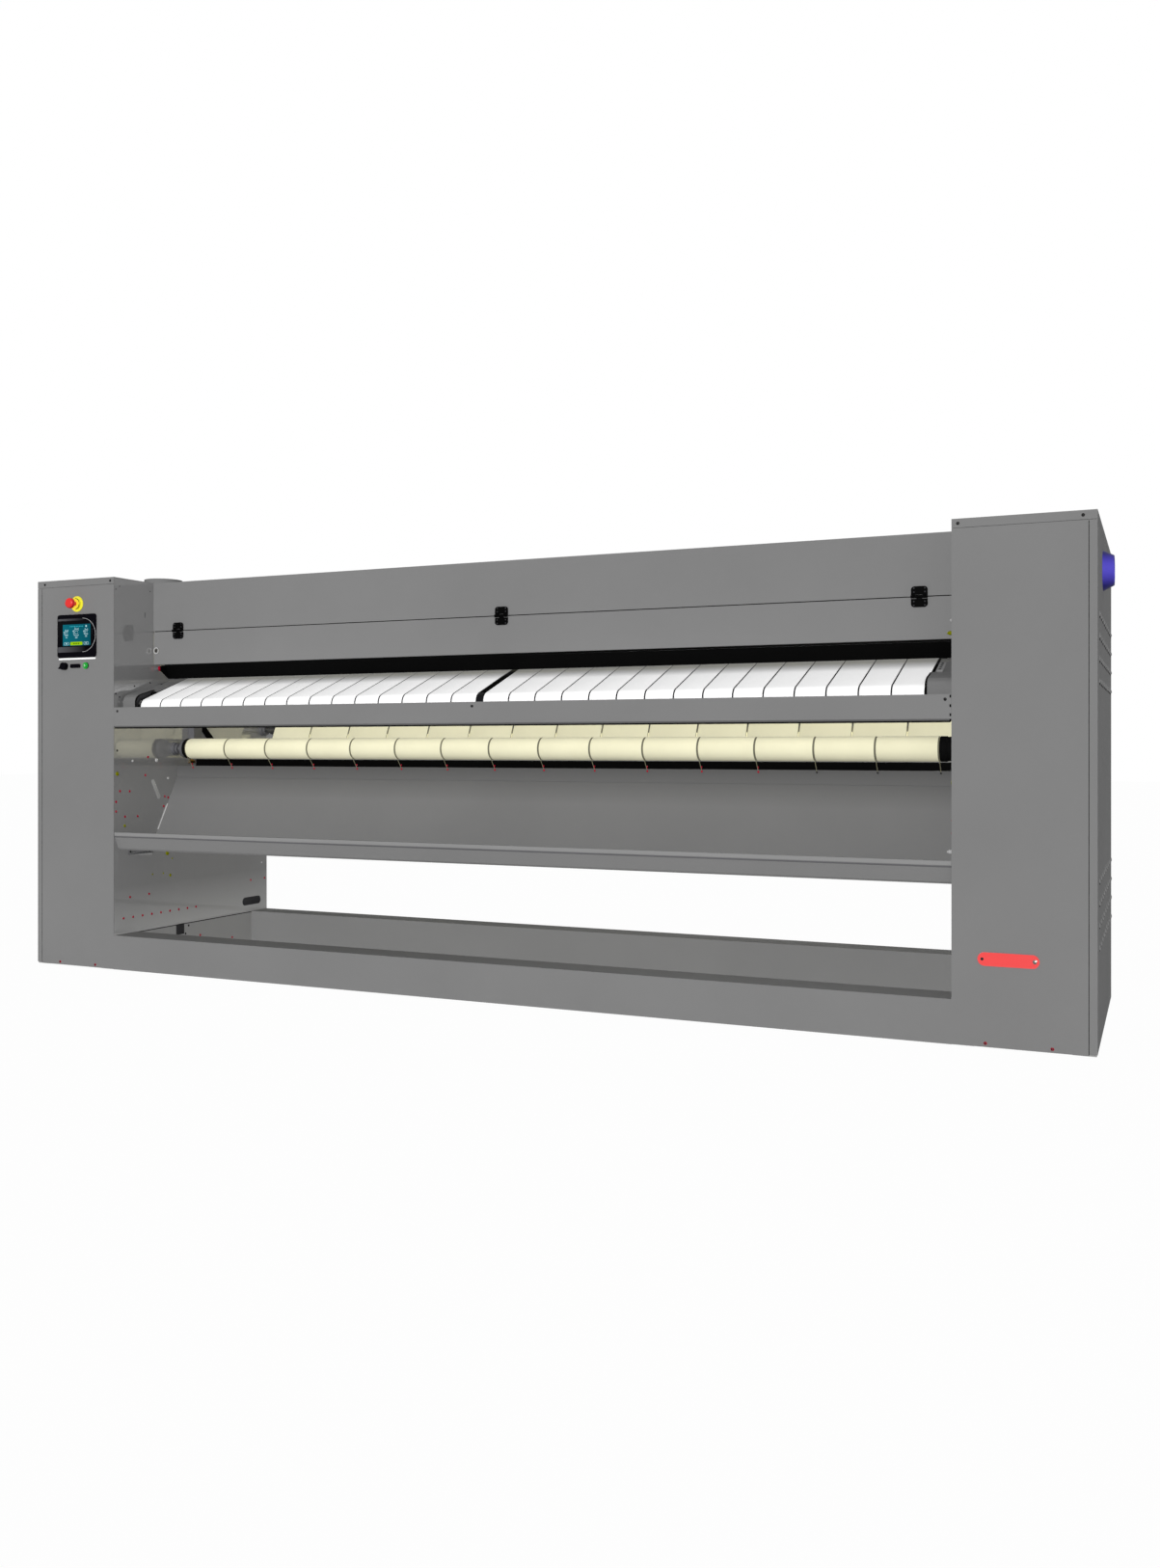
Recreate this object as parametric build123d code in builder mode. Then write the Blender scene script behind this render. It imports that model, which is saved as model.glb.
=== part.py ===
from build123d import *
import os
from math import atan2, cos, hypot, pi, sin, sqrt

# A flatwork ironer: a heated cylinder wrapped by ironing belts, fed from the front and
# returning the linen to a trough at the front, between two sheet metal cabinets.
# Millimetres. +X is to the right, +Y to the back, +Z up. The origin is the middle of the
# bounding box on the floor. Below, x counts from the middle of the machine, depth from its
# front face and height from the floor.

# Body
body_width = 3762
body_depth = 903
body_height = 1450
cabinet_width = 376
sheet = 2
wall_sheet = 3
fit_gap = 0.4  # between fixed sheets and what they stand against
run_gap = 0.3  # between a belt and its roller
seam_gap = 1
side_strip = 22  # width of the side cover's front and rear flanges
top_skirt = 25
flange = 15

# What stands proud of the body
louvre_out = 3
spigot_out = 30
collar_out = 50
stop_out = 45

# Base
base_height = 125
front_beam_depth = 115
rear_beam_depth = 104
beam_wall = 4
member_width = 60
notch_depth = (335, 382)
notch_height = 82

half_width = body_width / 2
wall_x = half_width - cabinet_width

# Heated cylinder
cylinder_radius = 250
hood_room = 32
cylinder_height = body_height - hood_room - cylinder_radius
cylinder_at = (598, cylinder_height)
cylinder_wall = 10
cylinder_half = wall_x - 65
cylinder_disc = 12
journal_radius = 60
journal_bore = 45
bearing_clear = 0.05
journal_hole = 66
housing_radius = 95
housing_length = 60
burner_radius = 30
burner_wall = 3
burner_pin = 20
burner_pin_length = 20
burner_start = -wall_x - 155
burner_arm = 12
burner_port_pitch = 70
burner_port_count = 39

# Gearmotor on the right-hand journal
gearmotor_x = (wall_x + 80, wall_x + 220)
gear_half = 110
motor_radius = 65
motor_length = 260
motor_fins = 12
motor_fin_pitch = 15

# Rollers: depth, height, radius and half the length of the shell
belt_half = wall_x - 80
shaft_radius = 12
shaft_bore = 5
roller_wall = 4
roller_hub = 12
roller_half = wall_x - 50
feed_roller_half = wall_x - 75
small_roller = 20
feed_belt = 2
belt = 3
feed_front_at = (83, cylinder_height - 199)
feed_front_radius = 30.7
feed_rear_at = (319.5, cylinder_height - 104.3)
feed_rear_radius = 24.7
return_front_at = (329, cylinder_height - 353)
return_front_radius = 35.7
return_bend_at = (801, cylinder_height - 332)
return_upper_at = (875, cylinder_height - 273.7)
return_lower_at = (875, cylinder_height - 368.7)
belt_reach = cylinder_radius + belt + 2 * run_gap + small_roller
nip_at = (cylinder_at[0] - belt_reach, cylinder_height - 38)
lower_rear_at = (cylinder_at[0] + belt_reach, cylinder_height - 213)
upper_rear_at = (cylinder_at[0] + belt_reach, cylinder_height + 240)
upper_front_at = (cylinder_at[0] - belt_reach, cylinder_height + 240)
flange_radius = 25
boss_radius = 20
flange_length = 14
boss_length = 10

# Belts
feed_belt_count = 15  # on each side of the middle gap
feed_middle_gap = 24
feed_belt_gap = 3
return_belt_count = 15
return_belt_gap = 4

# Hood, flap and finger guard
hood_front = 208
hood_seam = cylinder_height + 96
flap_bottom = cylinder_height - 31
flap_half = wall_x - 2
hinge_out = 5.5  # pin axis in front of the flap
hinge_size = (48, 62)
hinge_leaf = 4
hinge_round = 10
hinge_knuckle = 5
hinge_pin = 2.5
hinge_spacing = wall_x - 122
lock_at = (wall_x - 17, cylinder_height + 22)
lock_radius = 12.5
lock_barrel = 8
lock_reach = 15
lock_plate = 3
lock_depth = 14  # flap face to tongue
guard_half = wall_x - 25
guard_pivot = (229, cylinder_height - 45)
guard_top_edge = cylinder_height - 37
guard_low_edge = cylinder_height - 83
guard_pin = 4
guard_sheet = 3

# Feed table
beam_top = cylinder_height - 201
beam_bottom = cylinder_height - 275
end_cover_x = (wall_x - 72, wall_x - 14)
nose_line = [(128, 67), (114, 64), (66, 51), (49, 45), (38, 36), (33, 24), (33, -19)]

# Rear covers
rear_bottom = 370
guard_top = cylinder_height - 400
guard_foot = guard_top - 128
guard_face = 860

# Chute, trough and strip cords
chute_top = cylinder_height - 420
chute_bend = (340, chute_top - 45)
chute_lean = 3
trough_height = 440
trough_lip = 506
cord_radius = 1
cord_start = (336, chute_top - 3)
hook_peg = 2
anchor_at = (740, cylinder_height - 330)
anchor_radius = 4

# Control panel on the left cabinet
panel_x = -wall_x - 178
stop_height = body_height - 93
stop_ring = 29.5
stop_head = 19
stop_stem = 8
stop_barrel = 14.5
stop_barrel_end = 40
stop_neck = 16  # cap thickness
bezel_size = (190, 161)
bezel_height = body_height - 212.5
bezel_out = 4
screen_size = (160, 98)
screen_back = (136, 80)
screen_height = bezel_height + 8.5
light_size = (182, 6)
light_height = bezel_height - bezel_size[1] / 2 - 5
control_height = light_height - 27
knob_x = panel_x - 58
socket_x = panel_x - 8
socket_size = (49, 15)
start_x = panel_x + 44
start_radius = 9
start_collar = 12.5
knob_radius = 14
knob_stem = 5
knob_reach = 26

# Electrical box: size along x, depth and height, and its front lower edge
electrical_size = (180, 470, 620)
electrical_at = (150, 280)

# Air path
fan_at = (324, body_height - 124)
fan_inner = 48
fan_wall = 4
spigot_radius = (58.5, 43)
spigot_bore = 38
collar_at = (-wall_x - 188, 475)
collar_radius = 75
fan_shaft = 5
fan_blades = 9
fan_pod = 22
fan_tip = 46
pod_x = (wall_x + 185, wall_x + 275)

# Cover plate and screws
slot_plate_at = (wall_x + 150, 241.5)
slot_plate_size = (161, 37)
screw_radius = 5
screw_head = 2.5
low_wall_screws = [(50 + 50 * i, 182) for i in range(9)] + [
    (84, 258), (185, 260), (58, 561), (124, 560), (body_depth - 108, 257), (body_depth - 52, 257),
    (32, 657), (82, 655), (18, 722),
    (12, 618), (12, 582), (56, 527), (285, 409), (313, 386), (203, 333), (263, 332), (302, 321),
    (407, 112), (389, 82), (476, 65), (674, 30),
]
high_wall_screws = [  # heights from the cylinder's axis
    (165, -454), (179, -385), (271, -538), (290, -543), (265, -576), (18, -360),
    (289, -468), (225, -398), (97, -399), (30, -161), (107, -108), (191, -88), (225, -8),
]

panel_half = wall_x - fit_gap
mid_x = (louvre_out - spigot_out) / 2
front_y = (stop_out - body_depth) / 2
back = body_depth - sheet
cover_top = body_height - top_skirt - seam_gap
mid_plane = Plane.YZ.offset(mid_x)

os.makedirs("parts", exist_ok=True)


def side(x):
    """The plane across the machine at x: its own axes are depth and height."""
    return Plane(origin=(mid_x + x, front_y, 0), x_dir=(0, 1, 0), z_dir=(1, 0, 0))


def front(depth):
    """The plane parallel to the front face: its own axes are x and height."""
    return Plane(origin=(mid_x, front_y + depth, 0), x_dir=(1, 0, 0), z_dir=(0, -1, 0))


def level(height):
    """The horizontal plane at a height: its own axes are x and depth."""
    return Plane(origin=(mid_x, front_y, height), x_dir=(1, 0, 0), z_dir=(0, 0, 1))


def save(part, name):
    part.label = name
    export_step(part, f"parts/{name}.step")


def box(x_range, depth_range, height_range, mode=Mode.ADD):
    """A block between two values of x, of depth and of height."""
    with BuildSketch(level(height_range[0])) as outline:
        with Locations((sum(x_range) / 2, sum(depth_range) / 2)):
            Rectangle(x_range[1] - x_range[0], depth_range[1] - depth_range[0])
    extrude(outline.sketch, amount=height_range[1] - height_range[0], mode=mode)


def disc(x_range, centre, radius, mode=Mode.ADD):
    """A round bar along X."""
    with BuildSketch(side(x_range[0])) as outline:
        with Locations(centre):
            Circle(radius)
    extrude(outline.sketch, amount=x_range[1] - x_range[0], mode=mode)


def stud(x, height, depth_range, radius, mode=Mode.ADD):
    """A round bar along Y."""
    with BuildSketch(front(depth_range[1])) as outline:
        with Locations((x, height)):
            Circle(radius)
    extrude(outline.sketch, amount=depth_range[1] - depth_range[0], mode=mode)


def bent_sheet(points, thickness, x_range):
    """Folded sheet: an outline of depth and height, thickened to its left, drawn along X."""
    ways = []
    for start, end in zip(points, points[1:]):
        run = hypot(end[0] - start[0], end[1] - start[1])
        ways.append(((start[1] - end[1]) / run, (end[0] - start[0]) / run))
    outer = []
    for point, before, after in zip(points, ways[:1] + ways, ways + ways[-1:]):
        mitre = thickness / (1 + before[0] * after[0] + before[1] * after[1])
        outer.append((
            point[0] + (before[0] + after[0]) * mitre,
            point[1] + (before[1] + after[1]) * mitre,
        ))
    with BuildSketch(side(x_range[0])) as outline:
        with BuildLine():
            Polyline(*points, *outer[::-1], close=True)
        make_face()
    extrude(outline.sketch, amount=x_range[1] - x_range[0])


def mirrored(part):
    """The left-hand copy of a right-hand piece."""
    with BuildPart() as copy:
        mirror(part, about=mid_plane)
    return copy.part


def both(part):
    """A right-hand piece and its left-hand copy, in one node."""
    with BuildPart() as pair:
        add(part)
        mirror(part, about=mid_plane)
    return pair.part


def spread(part, offsets):
    """Copies of a piece, each moved along X."""
    with BuildPart() as row:
        with Locations(*[(x, 0, 0) for x in offsets]):
            add(part)
    return row.part


def tangent(first, second):
    """Start and end of the straight belt run between two pulleys (depth, height, radius, hand).

    The hand is 1 for a pulley inside the loop and -1 for one outside it.
    """
    reach = (second[0] - first[0], second[1] - first[1])
    rise = second[2] * second[3] - first[2] * first[3]
    run = sqrt(hypot(*reach) ** 2 - rise ** 2)
    heading = atan2(reach[1], reach[0]) - atan2(rise, run)
    normal = (-sin(heading), cos(heading))
    ends = []
    for pulley in (first, second):
        radius = pulley[2] * pulley[3]
        ends.append((pulley[0] - radius * normal[0], pulley[1] - radius * normal[1]))
    return ends


def wrap(pulley, arrive, leave):
    """The arc of belt on one pulley."""
    hand = pulley[3]
    start = atan2(arrive[1] - pulley[1], arrive[0] - pulley[0])
    end = atan2(leave[1] - pulley[1], leave[0] - pulley[0])
    sweep = (end - start) * hand % (2 * pi)
    middle = start + hand * sweep / 2
    crown = (pulley[0] + pulley[2] * cos(middle), pulley[1] + pulley[2] * sin(middle))
    ThreePointArc(arrive, crown, leave)


def loop(pulleys, inside, outside):
    """A closed line round pulleys, its distance from those inside and outside the loop."""
    grown = []
    for pulley in pulleys:
        grown.append((*pulley[0], pulley[1] + (inside if pulley[2] > 0 else outside), pulley[2]))
    runs = [tangent(grown[i - 1], grown[i]) for i in range(len(grown))]
    for i, pulley in enumerate(grown):
        arrive = runs[i][1]
        leave = runs[(i + 1) % len(grown)][0]
        wrap(pulley, arrive, leave)
        Line(leave, runs[(i + 1) % len(grown)][1])


def belt_part(pulleys, thickness, width):
    """One endless belt round its pulleys (centre, radius, hand), at x from 0 to its width."""
    with BuildPart() as piece:
        with BuildSketch(side(0)):
            with BuildLine():
                loop(pulleys, run_gap + thickness, run_gap)
            make_face()
            with BuildLine():
                loop(pulleys, run_gap, run_gap + thickness)
            make_face(mode=Mode.SUBTRACT)
        extrude(amount=width)
    return piece.part


def roller_part(centre, radius, shell_half):
    """A tube with end hubs and a hollow shaft that reaches into the wall bearings."""
    with BuildPart() as piece:
        disc((-shell_half, shell_half), centre, radius)
        inner = shell_half - roller_hub
        disc((-inner, inner), centre, radius - roller_wall, Mode.SUBTRACT)
        stubs = (shell_half - roller_hub, wall_x - seam_gap)
        for x_range in (stubs, (-stubs[1], -stubs[0])):
            disc(x_range, centre, shaft_radius)
            disc(x_range, centre, shaft_bore, Mode.SUBTRACT)
    return piece.part


# ---- base ----

with BuildPart() as base_beams:
    for start, depth in ((0, front_beam_depth), (body_depth - rear_beam_depth, rear_beam_depth)):
        with BuildSketch(side(-wall_x)):
            with Locations((start + depth / 2, base_height / 2)):
                Rectangle(depth, base_height)
                Rectangle(depth - 2 * beam_wall, base_height - 2 * beam_wall, mode=Mode.SUBTRACT)
        extrude(amount=2 * wall_x)
save(base_beams.part, "base_beams")

with BuildPart() as side_members:
    for start in (wall_x, half_width - sheet - member_width):
        with BuildSketch(front(sheet)):
            with Locations((start + member_width / 2, base_height / 2)):
                Rectangle(member_width, base_height)
                Rectangle(member_width - 2 * beam_wall, base_height - 2 * beam_wall, mode=Mode.SUBTRACT)
        extrude(amount=2 * sheet - body_depth)
    box((wall_x - 1, wall_x + beam_wall), notch_depth, (notch_height, base_height + 1), Mode.SUBTRACT)
save(both(side_members.part), "base_side_members")

# ---- walls ----

with BuildPart() as plain_wall:
    box((wall_x, wall_x + wall_sheet), (sheet, back), (base_height, body_height - sheet))
    disc((wall_x - 1, wall_x + wall_sheet + 1), cylinder_at, journal_hole, Mode.SUBTRACT)
    with BuildSketch(side(wall_x - 1)) as slots:
        with Locations((body_depth - 101.5, 169)):
            SlotOverall(123, 34)
        with Locations(Location((222, cylinder_height - 508.5), -62)):
            SlotOverall(85, 18)
    extrude(slots.sketch, amount=wall_sheet + 2, mode=Mode.SUBTRACT)
left_inner_wall = mirrored(plain_wall.part)
save(left_inner_wall, "left_inner_wall")

with BuildPart() as right_inner_wall:
    add(plain_wall.part)
    disc((wall_x - 1, wall_x + wall_sheet + 1), fan_at, fan_inner, Mode.SUBTRACT)
save(right_inner_wall.part, "right_inner_wall")

# ---- cabinet covers ----

cover_edge = half_width - side_strip
side_bottom = 5

with BuildPart() as right_front_cover:
    box((wall_x, cover_edge), (0, sheet), (seam_gap, cover_top))
    rim_start = wall_x + wall_sheet + fit_gap
    box((cover_edge - sheet, cover_edge), (sheet, flange), (base_height + seam_gap, cover_top))
    box((rim_start, cover_edge - sheet), (sheet, flange), (cover_top - sheet, cover_top))
save(right_front_cover.part, "right_front_cover")

with BuildPart() as left_front_cover:
    add(mirrored(right_front_cover.part))
    stud(panel_x, stop_height, (-1, sheet + 1), stop_barrel + fit_gap, Mode.SUBTRACT)
    stud(knob_x, control_height, (-1, sheet + 1), knob_stem + bearing_clear, Mode.SUBTRACT)
    stud(start_x, control_height, (-1, sheet + 1), start_collar - 1, Mode.SUBTRACT)
    screen_hole = [extent + 4 for extent in screen_back]
    box(
        (panel_x - screen_hole[0] / 2, panel_x + screen_hole[0] / 2),
        (-1, sheet + 1),
        (screen_height - screen_hole[1] / 2, screen_height + screen_hole[1] / 2),
        Mode.SUBTRACT,
    )
save(left_front_cover.part, "left_front_cover")

louvre_rows = (270, 331, 391, 452, 996, 1057, 1118, 1179)
louvre_count = 9
louvre_pitch = (body_depth - 93) / louvre_count
louvre_length = 50
louvre_height = 14
louvre_slot = 5
louvre_middle = body_depth / 2 + 33.5

with BuildPart() as louvre:
    with BuildSketch(front(louvre_middle + louvre_length / 2)):
        with BuildLine():
            Polyline(
                (half_width - sheet, 0),
                (half_width + louvre_out, 0),
                (half_width + louvre_out, louvre_slot),
                (half_width, louvre_height),
                (half_width - sheet, louvre_height),
                close=True,
            )
        make_face()
    extrude(amount=louvre_length)

with BuildPart() as right_side_cover:
    box((half_width - sheet, half_width), (0, body_depth), (side_bottom, cover_top))
    for start in (0, back):
        box((cover_edge + fit_gap, half_width - sheet), (start, start + sheet), (side_bottom, cover_top))
    spots = [
        (0, (column - (louvre_count - 1) / 2) * louvre_pitch, row)
        for row in louvre_rows
        for column in range(louvre_count)
    ]
    with Locations(*spots):
        add(louvre.part)
    slot_middle = (mid_x + half_width - sheet / 2, front_y + louvre_middle, louvre_slot / 2)
    with Locations(*[tuple(a + b for a, b in zip(spot, slot_middle)) for spot in spots]):
        Box(2 * sheet, louvre_length - 2 * louvre_slot, louvre_slot, mode=Mode.SUBTRACT)
save(mirrored(right_side_cover.part), "left_side_cover")

with BuildPart() as right_side_cover_open:
    add(right_side_cover.part)
    disc((half_width - sheet - 1, half_width + 1), fan_at, fan_inner, Mode.SUBTRACT)
save(right_side_cover_open.part, "right_side_cover")

with BuildPart() as top_cover:
    box((wall_x, half_width), (0, body_depth), (body_height - sheet, body_height))
    skirt = (body_height - top_skirt, body_height - sheet)
    box((half_width - sheet, half_width), (0, body_depth), skirt)
    for start in (0, back):
        box((wall_x, half_width - sheet), (start, start + sheet), skirt)
with BuildPart() as cabinet_top_covers:
    add(both(top_cover.part))
    with BuildSketch(level(body_height - top_skirt)) as collar_hole:
        with Locations(collar_at):
            Circle(collar_radius + fit_gap)
    extrude(collar_hole.sketch, amount=2 * top_skirt, mode=Mode.SUBTRACT)
save(cabinet_top_covers.part, "cabinet_top_covers")

with BuildPart() as cabinet_rear_cover:
    box((wall_x, cover_edge), (back, body_depth), (seam_gap, cover_top))
save(both(cabinet_rear_cover.part), "cabinet_rear_covers")

# ---- hood, rear covers ----

with BuildPart() as hood_panel:
    bent_sheet(
        [
            (back, body_height - seam_gap),
            (hood_front, body_height - seam_gap),
            (hood_front, hood_seam + seam_gap),
            (hood_front + 20, hood_seam + seam_gap),
        ],
        sheet,
        (-panel_half, panel_half),
    )
save(hood_panel.part, "hood_panel")

with BuildPart() as rear_cover:
    box((-panel_half, panel_half), (back, body_depth), (rear_bottom, body_height - seam_gap))
save(rear_cover.part, "rear_cover")

with BuildPart() as lower_rear_guard:
    bent_sheet(
        [(back, guard_top), (guard_face, guard_top), (guard_face, guard_foot), (back, guard_foot)],
        sheet,
        (-panel_half, panel_half),
    )
save(lower_rear_guard.part, "lower_rear_guard")

# ---- flap with its hinges and locks ----

flap_top = hood_seam - 2 * seam_gap
pin_at = (hood_front - hinge_out, hood_seam - seam_gap)

with BuildPart() as access_flap:
    bent_sheet(
        [
            (hood_front + 14, flap_top),
            (hood_front, flap_top),
            (hood_front, flap_bottom),
            (hood_front + 20, flap_bottom),
        ],
        sheet,
        (-flap_half, flap_half),
    )
    for x in (-lock_at[0], lock_at[0]):
        through = (hood_front - 1, hood_front + sheet + 1)
        stud(x, lock_at[1], through, lock_barrel + bearing_clear, Mode.SUBTRACT)
save(access_flap.part, "access_flap")


def hinge_leaf_part(hand):
    """One leaf of a hinge at the middle: hand 1 is the upper leaf, -1 the lower."""
    third = hinge_size[0] / 3
    edge = hinge_knuckle + 1
    with BuildPart() as leaf:
        plate = sorted((pin_at[1] + hand * edge, pin_at[1] + hand * hinge_size[1] / 2))
        lug = sorted((pin_at[1], pin_at[1] + hand * edge))
        if hand > 0:
            lugs = [(-hinge_size[0] / 2, -third / 2 - run_gap), (third / 2 + run_gap, hinge_size[0] / 2)]
        else:
            lugs = [(-third / 2, third / 2)]
        box((-hinge_size[0] / 2, hinge_size[0] / 2), (hood_front - hinge_leaf, hood_front), plate)
        corners = leaf.edges().filter_by(Axis.Y).group_by(Axis.Z)[-1 if hand > 0 else 0]
        fillet(corners, radius=hinge_round)
        for x_range in lugs:
            box(x_range, (hood_front - hinge_leaf, hood_front), lug)
            disc(x_range, pin_at, hinge_knuckle)
        disc((-hinge_size[0], hinge_size[0]), pin_at, hinge_pin + bearing_clear, Mode.SUBTRACT)
    return leaf.part


hinge_places = (-hinge_spacing, 0, hinge_spacing)
save(spread(hinge_leaf_part(1), hinge_places), "hinge_upper_leaves")
save(spread(hinge_leaf_part(-1), hinge_places), "hinge_lower_leaves")

with BuildPart() as hinge_pins:
    for x in hinge_places:
        disc((x - hinge_size[0] / 2, x + hinge_size[0] / 2), pin_at, hinge_pin)
save(hinge_pins.part, "hinge_pins")

with BuildPart() as flap_lock:
    x, height = lock_at
    tongue = hood_front + lock_depth
    stud(x, height, (hood_front - hinge_leaf, hood_front), lock_radius)
    chamfer(flap_lock.edges().group_by(Axis.Y)[0], length=1)
    stud(x, height, (hood_front, tongue + lock_plate), lock_barrel)
    key_slot = (hood_front - hinge_leaf - 1, hood_front - 2)
    box((x - 1.5, x + 1.5), key_slot, (height - 6, height + 6), Mode.SUBTRACT)
    half = lock_reach / 4
    box((x - half, x + half), (tongue, tongue + lock_plate), (height, height + lock_reach))
save(flap_lock.part, "flap_lock_right")
save(mirrored(flap_lock.part), "flap_lock_left")

# ---- finger guard ----

with BuildPart() as finger_guard:
    guard_line = [(222, guard_top_edge), (242, guard_top_edge), (270, guard_low_edge)]
    with BuildSketch(side(-guard_half)) as guard_section:
        with BuildLine():
            fold = Polyline(*guard_line)
            offset(fold, amount=guard_sheet, side=Side.LEFT, kind=Kind.INTERSECTION)
        make_face()
    extrude(guard_section.sketch, amount=2 * guard_half)
    for start in (-guard_half, guard_half - guard_sheet):
        with BuildSketch(side(start)) as cheek:
            with BuildLine():
                Polyline(
                    (218, guard_top_edge),
                    *guard_line[1:],
                    (262, guard_low_edge),
                    (218, guard_pivot[1] - 9),
                    close=True,
                )
            make_face()
        extrude(cheek.sketch, amount=guard_sheet)
    for start, end in ((-wall_x + 4, -guard_half), (guard_half, wall_x - 4)):
        disc((start, end), guard_pivot, guard_pin)
save(finger_guard.part, "finger_guard")

with BuildPart() as bracket:
    catch = hood_front + lock_depth - fit_gap
    box((wall_x - 5, wall_x), (catch - 7, catch), (lock_at[1] - 12, lock_at[1] + 12))
    disc((guard_half + 4, wall_x), guard_pivot, 2 * guard_pin)
    disc((guard_half + 3, wall_x - 3), guard_pivot, guard_pin + bearing_clear, Mode.SUBTRACT)
    box((wall_x - wall_sheet, wall_x), (75, 205), (trough_height - 23, trough_height))
    box((wall_x - 40, wall_x - wall_sheet), (75, 205), (trough_height - wall_sheet, trough_height))
save(both(bracket.part), "wall_brackets")

# ---- feed table ----

with BuildPart() as feed_front_beam:
    bent_sheet(
        [(20, beam_top), (0, beam_top), (0, beam_bottom + 6), (8, beam_bottom), (20, beam_bottom)],
        sheet,
        (-panel_half, panel_half),
    )
save(feed_front_beam.part, "feed_front_beam")

feed_pulleys = ((feed_front_at, feed_front_radius, 1), (feed_rear_at, feed_rear_radius, 1))
feed_belt_pitch = (belt_half - feed_middle_gap / 2) / feed_belt_count
feed_belt_part = belt_part(feed_pulleys, feed_belt, feed_belt_pitch - feed_belt_gap)
first_start = (feed_middle_gap + feed_belt_gap) / 2
right_starts = [first_start + i * feed_belt_pitch for i in range(feed_belt_count)]
left_starts = [-start - feed_belt_pitch + feed_belt_gap for start in right_starts]
save(spread(feed_belt_part, left_starts + right_starts), "feed_belts")

# The plate lies just under the belts' upper run.
run_start, run_end = tangent(
    (*feed_rear_at, feed_rear_radius, 1),
    (*feed_front_at, feed_front_radius, 1),
)
run_length = hypot(run_end[0] - run_start[0], run_end[1] - run_start[1])
along = ((run_end[0] - run_start[0]) / run_length, (run_end[1] - run_start[1]) / run_length)
plate_margin = 60
plate_flange = 22


def table_point(distance, below):
    """A point on the belt run: how far along it from the back, and how far under it."""
    depth = run_start[0] + along[0] * distance - along[1] * below
    height = run_start[1] + along[1] * distance + along[0] * below
    return (depth, height)


with BuildPart() as feed_table_plate:
    bent_sheet(
        [
            table_point(plate_margin, plate_flange),
            table_point(plate_margin, 0),
            table_point(run_length - plate_margin, 0),
            table_point(run_length - plate_margin, plate_flange),
        ],
        sheet,
        (-panel_half, panel_half),
    )
save(feed_table_plate.part, "feed_table_plate")

with BuildPart() as feed_end_cover:
    cover_level = -run_gap - feed_belt
    bent_sheet(
        [
            table_point(12, cover_level),
            table_point(170, cover_level),
            *[(depth, feed_front_at[1] + rise) for depth, rise in nose_line],
        ],
        sheet,
        end_cover_x,
    )
    wall_strip = [table_point(80, cover_level), table_point(140, cover_level)]
    bent_sheet(wall_strip, sheet, (end_cover_x[1], panel_half))
save(both(feed_end_cover.part), "feed_end_covers")

# ---- heated cylinder ----

with BuildPart() as heated_cylinder:
    disc((-cylinder_half, cylinder_half), cylinder_at, cylinder_radius)
    inner = cylinder_half - cylinder_disc
    disc((-inner, inner), cylinder_at, cylinder_radius - cylinder_wall, Mode.SUBTRACT)
    housing_end = wall_x + wall_sheet + housing_length
    disc((-housing_end - 10, -inner), cylinder_at, journal_radius)
    disc((-housing_end - 10, -inner), cylinder_at, journal_bore, Mode.SUBTRACT)
    disc((inner, gearmotor_x[1] + 10), cylinder_at, journal_radius)
    disc((inner, inner + burner_pin_length + 5), cylinder_at, burner_pin + bearing_clear, Mode.SUBTRACT)
save(heated_cylinder.part, "heated_cylinder")

with BuildPart() as cylinder_bearing:
    disc((wall_x + wall_sheet, wall_x + wall_sheet + 16), cylinder_at, housing_radius)
    disc((wall_x + wall_sheet + 16, housing_end), cylinder_at, housing_radius - 18)
    disc((wall_x + wall_sheet, housing_end), cylinder_at, journal_radius + bearing_clear, Mode.SUBTRACT)
    end_circles = cylinder_bearing.edges().filter_by(GeomType.CIRCLE).group_by(Axis.X)[-1]
    fillet(end_circles.sort_by(SortBy.RADIUS)[-1], radius=4)
save(both(cylinder_bearing.part), "cylinder_bearings")

# The burner stands still inside the turning cylinder: a pin carries its inner end.
with BuildPart() as burner_tube:
    burner_end = inner - 8
    disc((burner_start, burner_end), cylinder_at, burner_radius)
    hollow = (burner_start + burner_wall, burner_end - burner_wall)
    disc(hollow, cylinder_at, burner_radius - burner_wall, Mode.SUBTRACT)
    disc((burner_end, inner + burner_pin_length), cylinder_at, burner_pin)
    with BuildSketch(level(cylinder_at[1])) as ports:
        with Locations((0, cylinder_at[0])):
            with GridLocations(burner_port_pitch, 1, burner_port_count, 1):
                Circle(burner_wall)
    extrude(ports.sketch, amount=2 * burner_radius, mode=Mode.SUBTRACT)
    arm_height = (cylinder_at[1] - housing_radius - 40, cylinder_at[1] - housing_radius - 20)
    arm_depth = (cylinder_at[0] - 30, cylinder_at[0] + 30)
    box((burner_start, burner_start + burner_arm), arm_depth, (arm_height[0], cylinder_at[1]))
    box((burner_start, -wall_x - wall_sheet), arm_depth, arm_height)
save(burner_tube.part, "burner_tube")

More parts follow.
